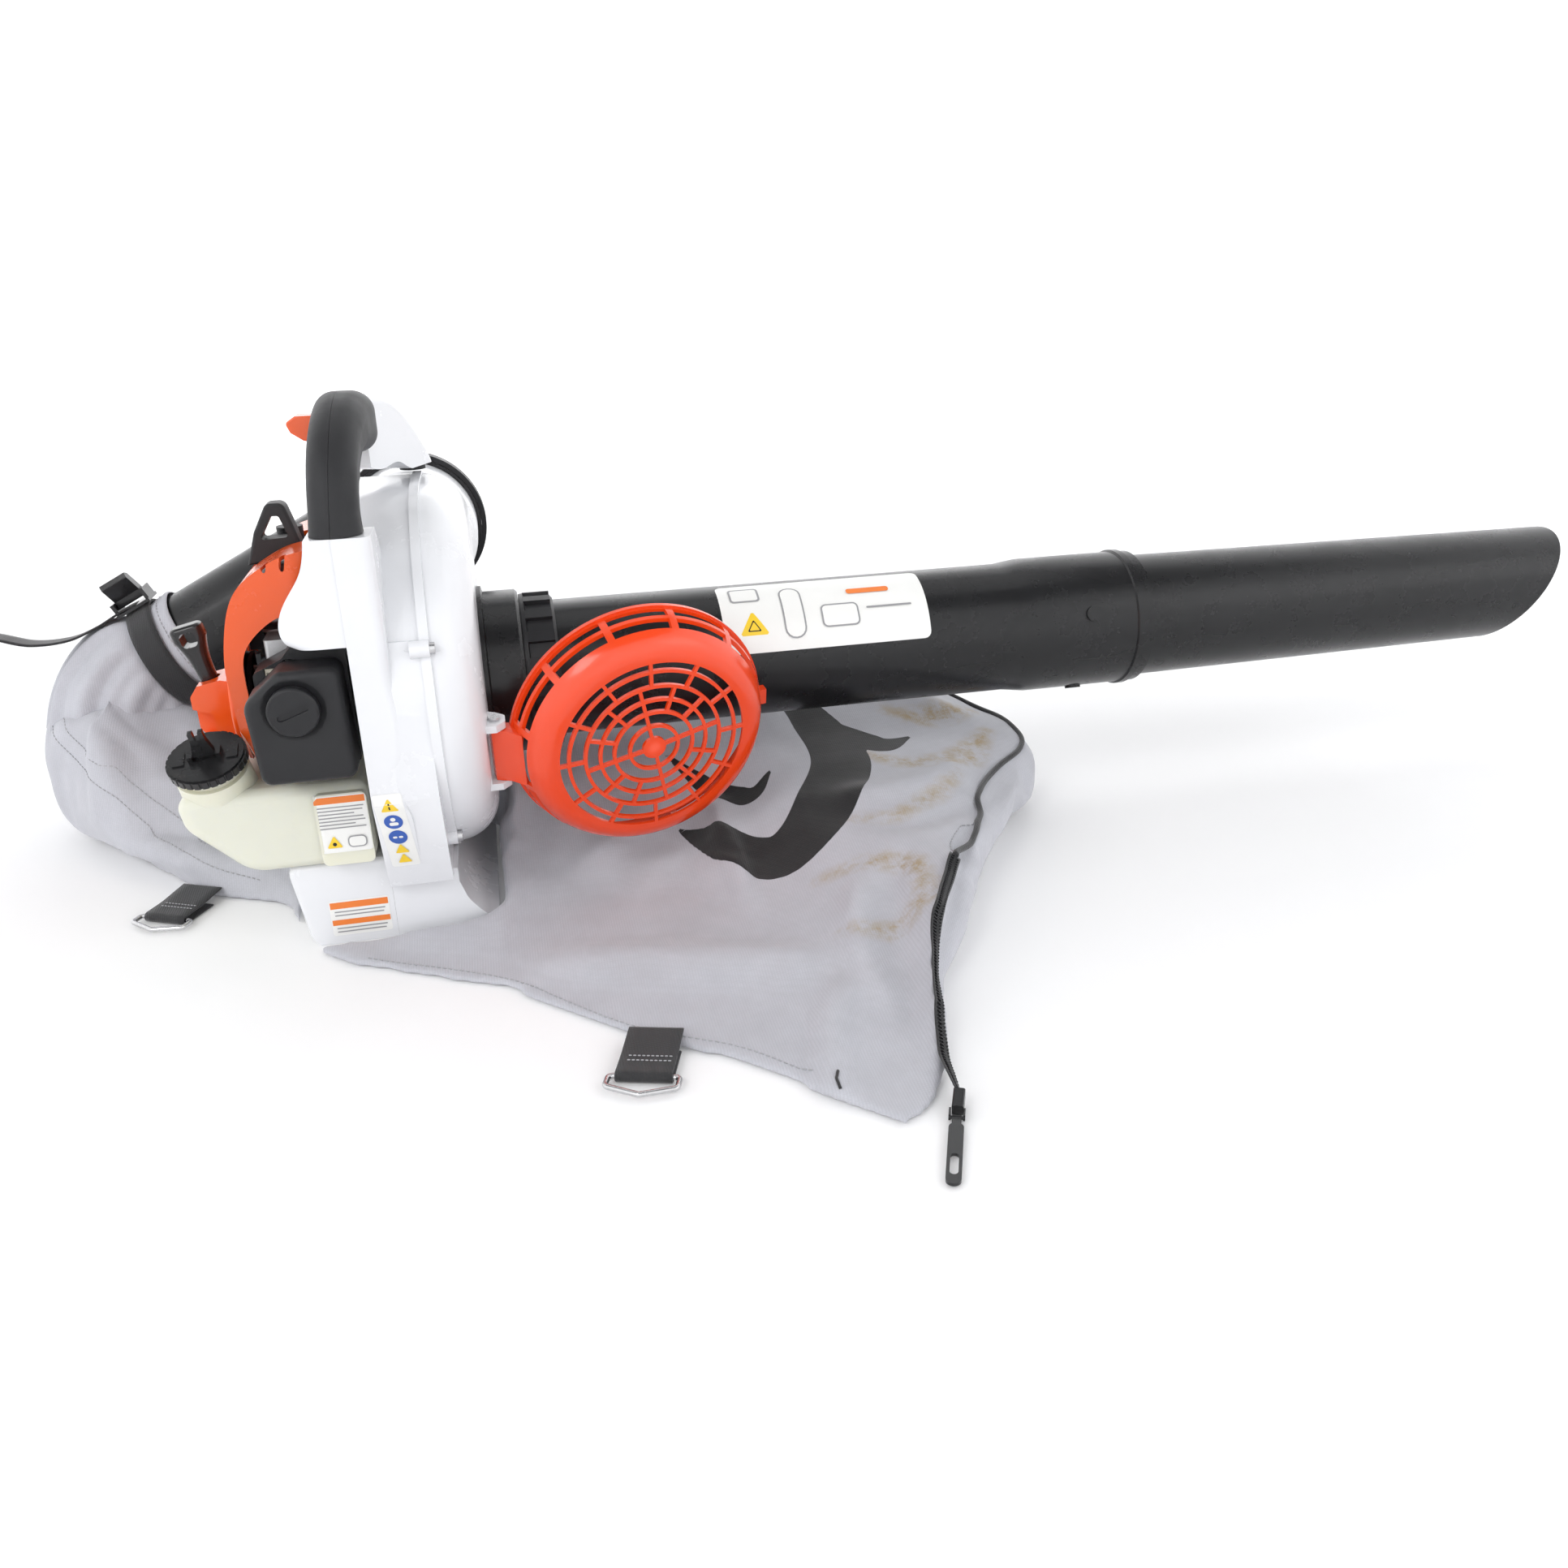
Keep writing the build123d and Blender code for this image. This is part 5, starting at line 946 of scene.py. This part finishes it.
# ------------------------------------------------------------------- strap
TAIL_STEPS = 46


def build_strap():
    """Webbing round the sleeve, and its free tail beyond the buckle."""
    ring = []
    count = 120
    for k in range(count):
        angle = 2 * math.pi * k / count
        wobble = 0.0010 * math.sin(angle * 3 + 0.5)
        ring.append(around(0.023 + wobble, 0.0446 + 0.0006 * math.sin(angle * 5), angle))
    made = swept("strap_ring", ring, band(0.022, 0.0017), webbing, lambda i: RUN_DIR, closed=True)
    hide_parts("bag_strap")
    finish_soft(made)
    tail = curve_through(
        ((-0.196, 0.207, 0.1795), (-0.206, 0.206, 0.1755), (-0.228, 0.200, 0.1640), (-0.248, 0.192, 0.1580),
         (-0.272, 0.184, 0.1590), (-0.2945, 0.177, 0.1680)), TAIL_STEPS)

    def lean(i):
        return Vector((0.1, 1, -0.12 * i / TAIL_STEPS))

    finish_soft(swept("strap_tail", tail, band(0.021, 0.0016), webbing, lean))


build_strap()


# ------------------------------------------------------- loops with rings
def build_loop(name, root, away, replace):
    """Webbing loop sewn to the bag at root, folded round a bar on its far side."""
    away = Vector((*away, 0)).normalized()
    root = Vector((*root, 0))
    side = Vector((0, 0, 1)).cross(away)
    bar = root + away * 0.025 + Vector((0, 0, 0.0036))
    path = [root - away * 0.016 + Vector((0, 0, 0.0090)), root - away * 0.004 + Vector((0, 0, 0.0078)),
            root + away * 0.008 + Vector((0, 0, 0.0066)), root + away * 0.018 + Vector((0, 0, 0.0064))]
    for step in range(9):
        angle = math.pi / 2 - math.pi * step / 8
        path.append(bar + (away * math.cos(angle) + Vector((0, 0, 1)) * math.sin(angle)) * 0.0028)
    path += [root + away * 0.016 + Vector((0, 0, 0.0012)), root - away * 0.004 + Vector((0, 0, 0.0012))]
    line = curve_through(path, 70)
    made = swept(name, line, band(0.033, 0.0013), webbing, lambda i: side)
    if replace:
        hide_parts("strap_loops")
    finish_soft(made)
    for row in (0.0105, 0.0150):
        middle = root + away * row
        across = [middle + side * (0.014 * x / 10) + Vector((0, 0, 0.0076)) for x in range(-10, 11)]
        finish_soft(dashes(f"{name}_stitches_{int(row * 10000)}", across, *LOOP_STITCH, thread))


build_loop("rear_loop", (-0.150, -0.002), (-0.45, -0.89), True)
build_loop("front_loop", (0.152, -0.282), (-0.30, -0.95), False)


# ------------------------------------------------------------ starter rope
def build_rope():
    """Short stretch of starter rope between the machine and the starter grip."""
    start = Vector((-0.101, -0.024, 0.174))
    way = Vector((-0.2251, 0, 0.9743)).normalized()
    low, high = start - way * 0.012, start + way * 0.012
    line = [low + (high - low) * (i / 60) for i in range(61)]
    section = round_section(0.0016, 14)
    made = swept("starter_rope_braid", line, section, cord_weave, lambda i: Vector((0, 1, 0)))
    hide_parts("starter_rope")
    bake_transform(made)


build_rope()


# ------------------------------------------------------------------ labels
def plain(name, color, rough=0.35):
    return moulded(name, color, rough, 900, 0.00001, vary=0.02)


ink_white = plain("label_white", (0.82, 0.82, 0.80))
ink_orange = plain("label_orange", (0.80, 0.20, 0.03))
ink_yellow = plain("label_yellow", (0.85, 0.58, 0.03))
ink_blue = plain("label_blue", (0.03, 0.10, 0.42))
ink_black = plain("label_black", (0.02, 0.02, 0.02))
ink_grey = plain("label_grey", (0.30, 0.30, 0.31))


def rounded(x0, y0, x1, y1, r):
    """Outline of a rectangle with corners of radius r."""
    made = []
    corners = ((x1 - r, y1 - r, 0), (x0 + r, y1 - r, 90), (x0 + r, y0 + r, 180), (x1 - r, y0 + r, 270))
    for cx, cy, a in corners:
        for k in range(5):
            t = math.radians(a + 22.5 * k)
            made.append((cx + r * math.cos(t), cy + r * math.sin(t)))
    return made


def disc(x, y, r):
    return [(x + r * math.cos(t), y + r * math.sin(t)) for t in np.linspace(0, 2 * math.pi, 28, False)]


CUT = 0.08


def triangle(x, y, r):
    """Outline of a triangle with its corners cut off."""
    turns = (math.pi / 2, math.pi * 7 / 6, math.pi * 11 / 6)
    corners = [(x + r * math.cos(t), y + r * math.sin(t)) for t in turns]
    made = []
    for i, (ax, ay) in enumerate(corners):
        bx, by = corners[(i + 1) % 3]
        cx, cy = corners[i - 1]
        made += [(ax + (cx - ax) * CUT, ay + (cy - ay) * CUT), (ax + (bx - ax) * CUT, ay + (by - ay) * CUT)]
    return made


LABEL_LIFT = 0.00016
LAYER_LIFT = 0.00006


def label(name, shapes, place, step=0.0022):
    """Flat ink shapes laid on a surface; place(u, v) gives the point and its normal."""
    for layer, (material, outline) in enumerate(shapes):
        box = bmesh.new()
        box.faces.new([box.verts.new((x, y, 0)) for x, y in outline])
        for axis in (0, 1):
            values = [p[axis] for p in outline]
            at = min(values) + step
            while at < max(values):
                co, no = [0, 0, 0], [0, 0, 0]
                co[axis], no[axis] = at, 1
                geometry = box.verts[:] + box.edges[:] + box.faces[:]
                bmesh.ops.bisect_plane(box, geom=geometry, plane_co=co, plane_no=no)
                at += step
        for vert in box.verts:
            point, normal = place(vert.co.x, vert.co.y)
            vert.co = point + normal * (LABEL_LIFT + LAYER_LIFT * layer)
        mesh = bpy.data.meshes.new(f"{name}_{layer}")
        box.to_mesh(mesh)
        box.free()
        made = add_object(f"{name}_{layer}", mesh, material)
        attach(made, "machine")


def facing(tree, origin, u, v):
    """Places label points by looking along the label's own normal at a surface."""
    origin, u, v = Vector(origin), Vector(u).normalized(), Vector(v).normalized()
    out = u.cross(v).normalized()

    def place(x, y):
        p = origin + u * x + v * y
        hit = tree.ray_cast(p + out * 0.03, -out, 0.08)
        if hit[0] is None:
            return p, out
        return hit[0], out

    return place


def text_bars(x0, x1, top, rows, pitch):
    """Thin grey bars that stand for lines of print."""
    made = []
    for row in range(rows):
        end = x1 - (0.22 * (x1 - x0) if row % 3 == 2 else 0.03 * (x1 - x0) * (row % 2))
        y = top - pitch * row
        high = y + pitch * 0.34
        made.append((ink_grey, [(x0, y), (end, y), (end, high), (x0, high)]))
    return made


body_tree = tree_of("fan_housing_inner", "handle_shell", "foot", "fuel_tank")
tank_place = facing(body_tree, (-0.038, -0.110, 0.072), (1, 0, 0), (0, 0, 1))
label("tank_label", [
    (ink_white, rounded(0, 0, 0.033, 0.040, 0.0018)),
    (ink_orange, [(0.0006, 0.0345), (0.0324, 0.0345), (0.0324, 0.0392), (0.0006, 0.0392)]),
    *text_bars(0.002, 0.031, 0.0315, 7, 0.0024),
    (ink_yellow, triangle(0.0095, 0.0065, 0.0058)),
    (ink_black, disc(0.0095, 0.0062, 0.0013)),
    (ink_grey, rounded(0.018, 0.003, 0.030, 0.0112, 0.003)),
    (ink_white, rounded(0.0188, 0.0038, 0.0292, 0.0104, 0.0024)),
], tank_place)
spine_place = facing(body_tree, (0.0060, -0.112, 0.060), (1, -0.02, 0), (-0.06, 0, 1))
label("spine_label", [
    (ink_white, rounded(0, 0, 0.018, 0.060, 0.0018)),
    (ink_yellow, triangle(0.009, 0.0505, 0.0066)),
    (ink_black, rounded(0.0085, 0.0485, 0.0095, 0.0535, 0.0004)),
    (ink_blue, disc(0.009, 0.0385, 0.0058)),
    (ink_blue, disc(0.009, 0.0255, 0.0058)),
    (ink_white, disc(0.0090, 0.0405, 0.0016)),
    (ink_white, rounded(0.0062, 0.0355, 0.0118, 0.0382, 0.0011)),
    (ink_white, rounded(0.0058, 0.0247, 0.0085, 0.0264, 0.0008)),
    (ink_white, rounded(0.0095, 0.0247, 0.0122, 0.0264, 0.0008)),
    (ink_yellow, triangle(0.009, 0.0145, 0.0052)),
    (ink_yellow, triangle(0.009, 0.0060, 0.0052)),
], spine_place)
foot_place = facing(body_tree, (-0.041, -0.098, 0.006), (1, 0, 0), (0, 0, 1))
label("foot_label", [
    (ink_white, rounded(0, 0, 0.039, 0.026, 0.0018)),
    (ink_orange, [(0.0006, 0.0200), (0.0384, 0.0200), (0.0384, 0.0248), (0.0006, 0.0248)]),
    *text_bars(0.003, 0.036, 0.0172, 2, 0.0026),
    (ink_orange, [(0.0006, 0.0078), (0.0384, 0.0078), (0.0384, 0.0118), (0.0006, 0.0118)]),
    *text_bars(0.003, 0.036, 0.0050, 2, 0.0026),
], foot_place)


TUBE_HEIGHT = 0.155
TUBE_RADIUS = 0.0486
LABEL_RADIUS = 0.0487


def round_tube(u, v):
    """u along the suction tube, v round it from the top towards the front."""
    angle = v / LABEL_RADIUS
    normal = Vector((0, -math.sin(angle), math.cos(angle)))
    return Vector((u, 0, TUBE_HEIGHT)) + normal * TUBE_RADIUS, normal


def flip(shape):
    """The outline mirrored from top to bottom."""
    return [(x, -y) for x, y in shape][::-1]


label("tube_label", [
    (ink_white, flip(rounded(0.246, -0.066, 0.398, -0.003, 0.005))),
    (ink_yellow, flip(triangle(0.268, -0.047, 0.0125))),
    (ink_black, flip(triangle(0.268, -0.0475, 0.0060))),
    (ink_yellow, flip(triangle(0.268, -0.0475, 0.0044))),
    (ink_grey, flip(rounded(0.254, -0.026, 0.276, -0.010, 0.003))),
    (ink_white, flip(rounded(0.2555, -0.0245, 0.2745, -0.0115, 0.002))),
    (ink_grey, flip(rounded(0.290, -0.058, 0.306, -0.014, 0.0076))),
    (ink_white, flip(rounded(0.2912, -0.0568, 0.3048, -0.0152, 0.0066))),
    (ink_grey, flip(rounded(0.318, -0.052, 0.346, -0.034, 0.004))),
    (ink_white, flip(rounded(0.3192, -0.0508, 0.3448, -0.0352, 0.003))),
    (ink_orange, flip(rounded(0.340, -0.026, 0.372, -0.021, 0.002))),
    (ink_grey, flip(rounded(0.352, -0.040, 0.386, -0.0385, 0.0006))),
], round_tube, step=0.003)


# -------------------------------------------------------- floor and lights
FLOOR_RADIUS = 3.0
SWEEP_RADIUS = 1.5


def stage_floor():
    """Round paper floor that sweeps up into a wall, a little brighter far away."""
    points, faces = [], []
    rings = [(r, -0.0002) for r in (0.0, 1.0, 2.0, FLOOR_RADIUS)]
    for t in np.linspace(0.2, math.pi / 2, 8):
        rings.append((FLOOR_RADIUS + SWEEP_RADIUS * math.sin(t), SWEEP_RADIUS - SWEEP_RADIUS * math.cos(t)))
    rings += [(4.5, 4.0), (4.5, 6.0)]
    count = 72
    for radius, height in rings:
        for k in range(count):
            angle = 2 * math.pi * k / count
            points.append((0.15 + radius * math.cos(angle), radius * math.sin(angle), height))
    for i in range(len(rings) - 1):
        low, high = i * count, (i + 1) * count
        for k in range(count):
            beside = (k + 1) % count
            faces.append((low + k, low + beside, high + beside, high + k))
    mesh = mesh_from("floor", points, faces)
    s = Shader("floor_paper")
    s.color(s.ramp(s.noise(0.8, 2, 0.4), [(0.3, (0.90, 0.90, 0.905)), (0.7, (0.93, 0.93, 0.935))]))
    away = s.tree.nodes.new("ShaderNodeVectorMath")
    away.operation = "LENGTH"
    s.link(s.place, away.inputs[0])
    s.link(s.level(away.outputs["Value"], 0.05, 0.46, 0.9, 3.2), s.bsdf.inputs["Emission Strength"])
    s.put(Roughness=0.75, Emission_Color=(1, 1, 1, 1))
    s.material.cycles.emission_sampling = "NONE"
    floor = add_object("floor", mesh, s)


stage_floor()


def area_light(name, at, aim, size, power):
    data = bpy.data.lights.new(name, "AREA")
    data.shape = "RECTANGLE"
    data.size, data.size_y = size
    data.energy = power
    lamp = bpy.data.objects.new(name, data)
    lamp.location = at
    lamp.rotation_mode = "QUATERNION"
    lamp.rotation_quaternion = (Vector(at) - Vector(aim)).to_track_quat("Z", "Y")
    scene.collection.objects.link(lamp)


area_light("key", (-1.5, -1.9, 2.3), (0.1, 0, 0.1), (1.2, 1.2), 18)
area_light("fill", (2.3, -1.6, 1.5), (0.3, 0, 0.1), (1.6, 1.2), 4)
area_light("top", (0.3, 0.5, 2.6), (0.3, 0, 0.1), (2.2, 1.6), 9)
area_light("back", (0.2, 2.4, 1.2), (0.2, 0, 0.2), (2.4, 1.0), 5)
world = bpy.data.worlds.new("studio")
world.use_nodes = True
world.node_tree.nodes["Background"].inputs[0].default_value = (0.95, 0.97, 1.0, 1)
world.node_tree.nodes["Background"].inputs[1].default_value = 0.22
scene.world = world
scene.view_settings.view_transform = "Standard"
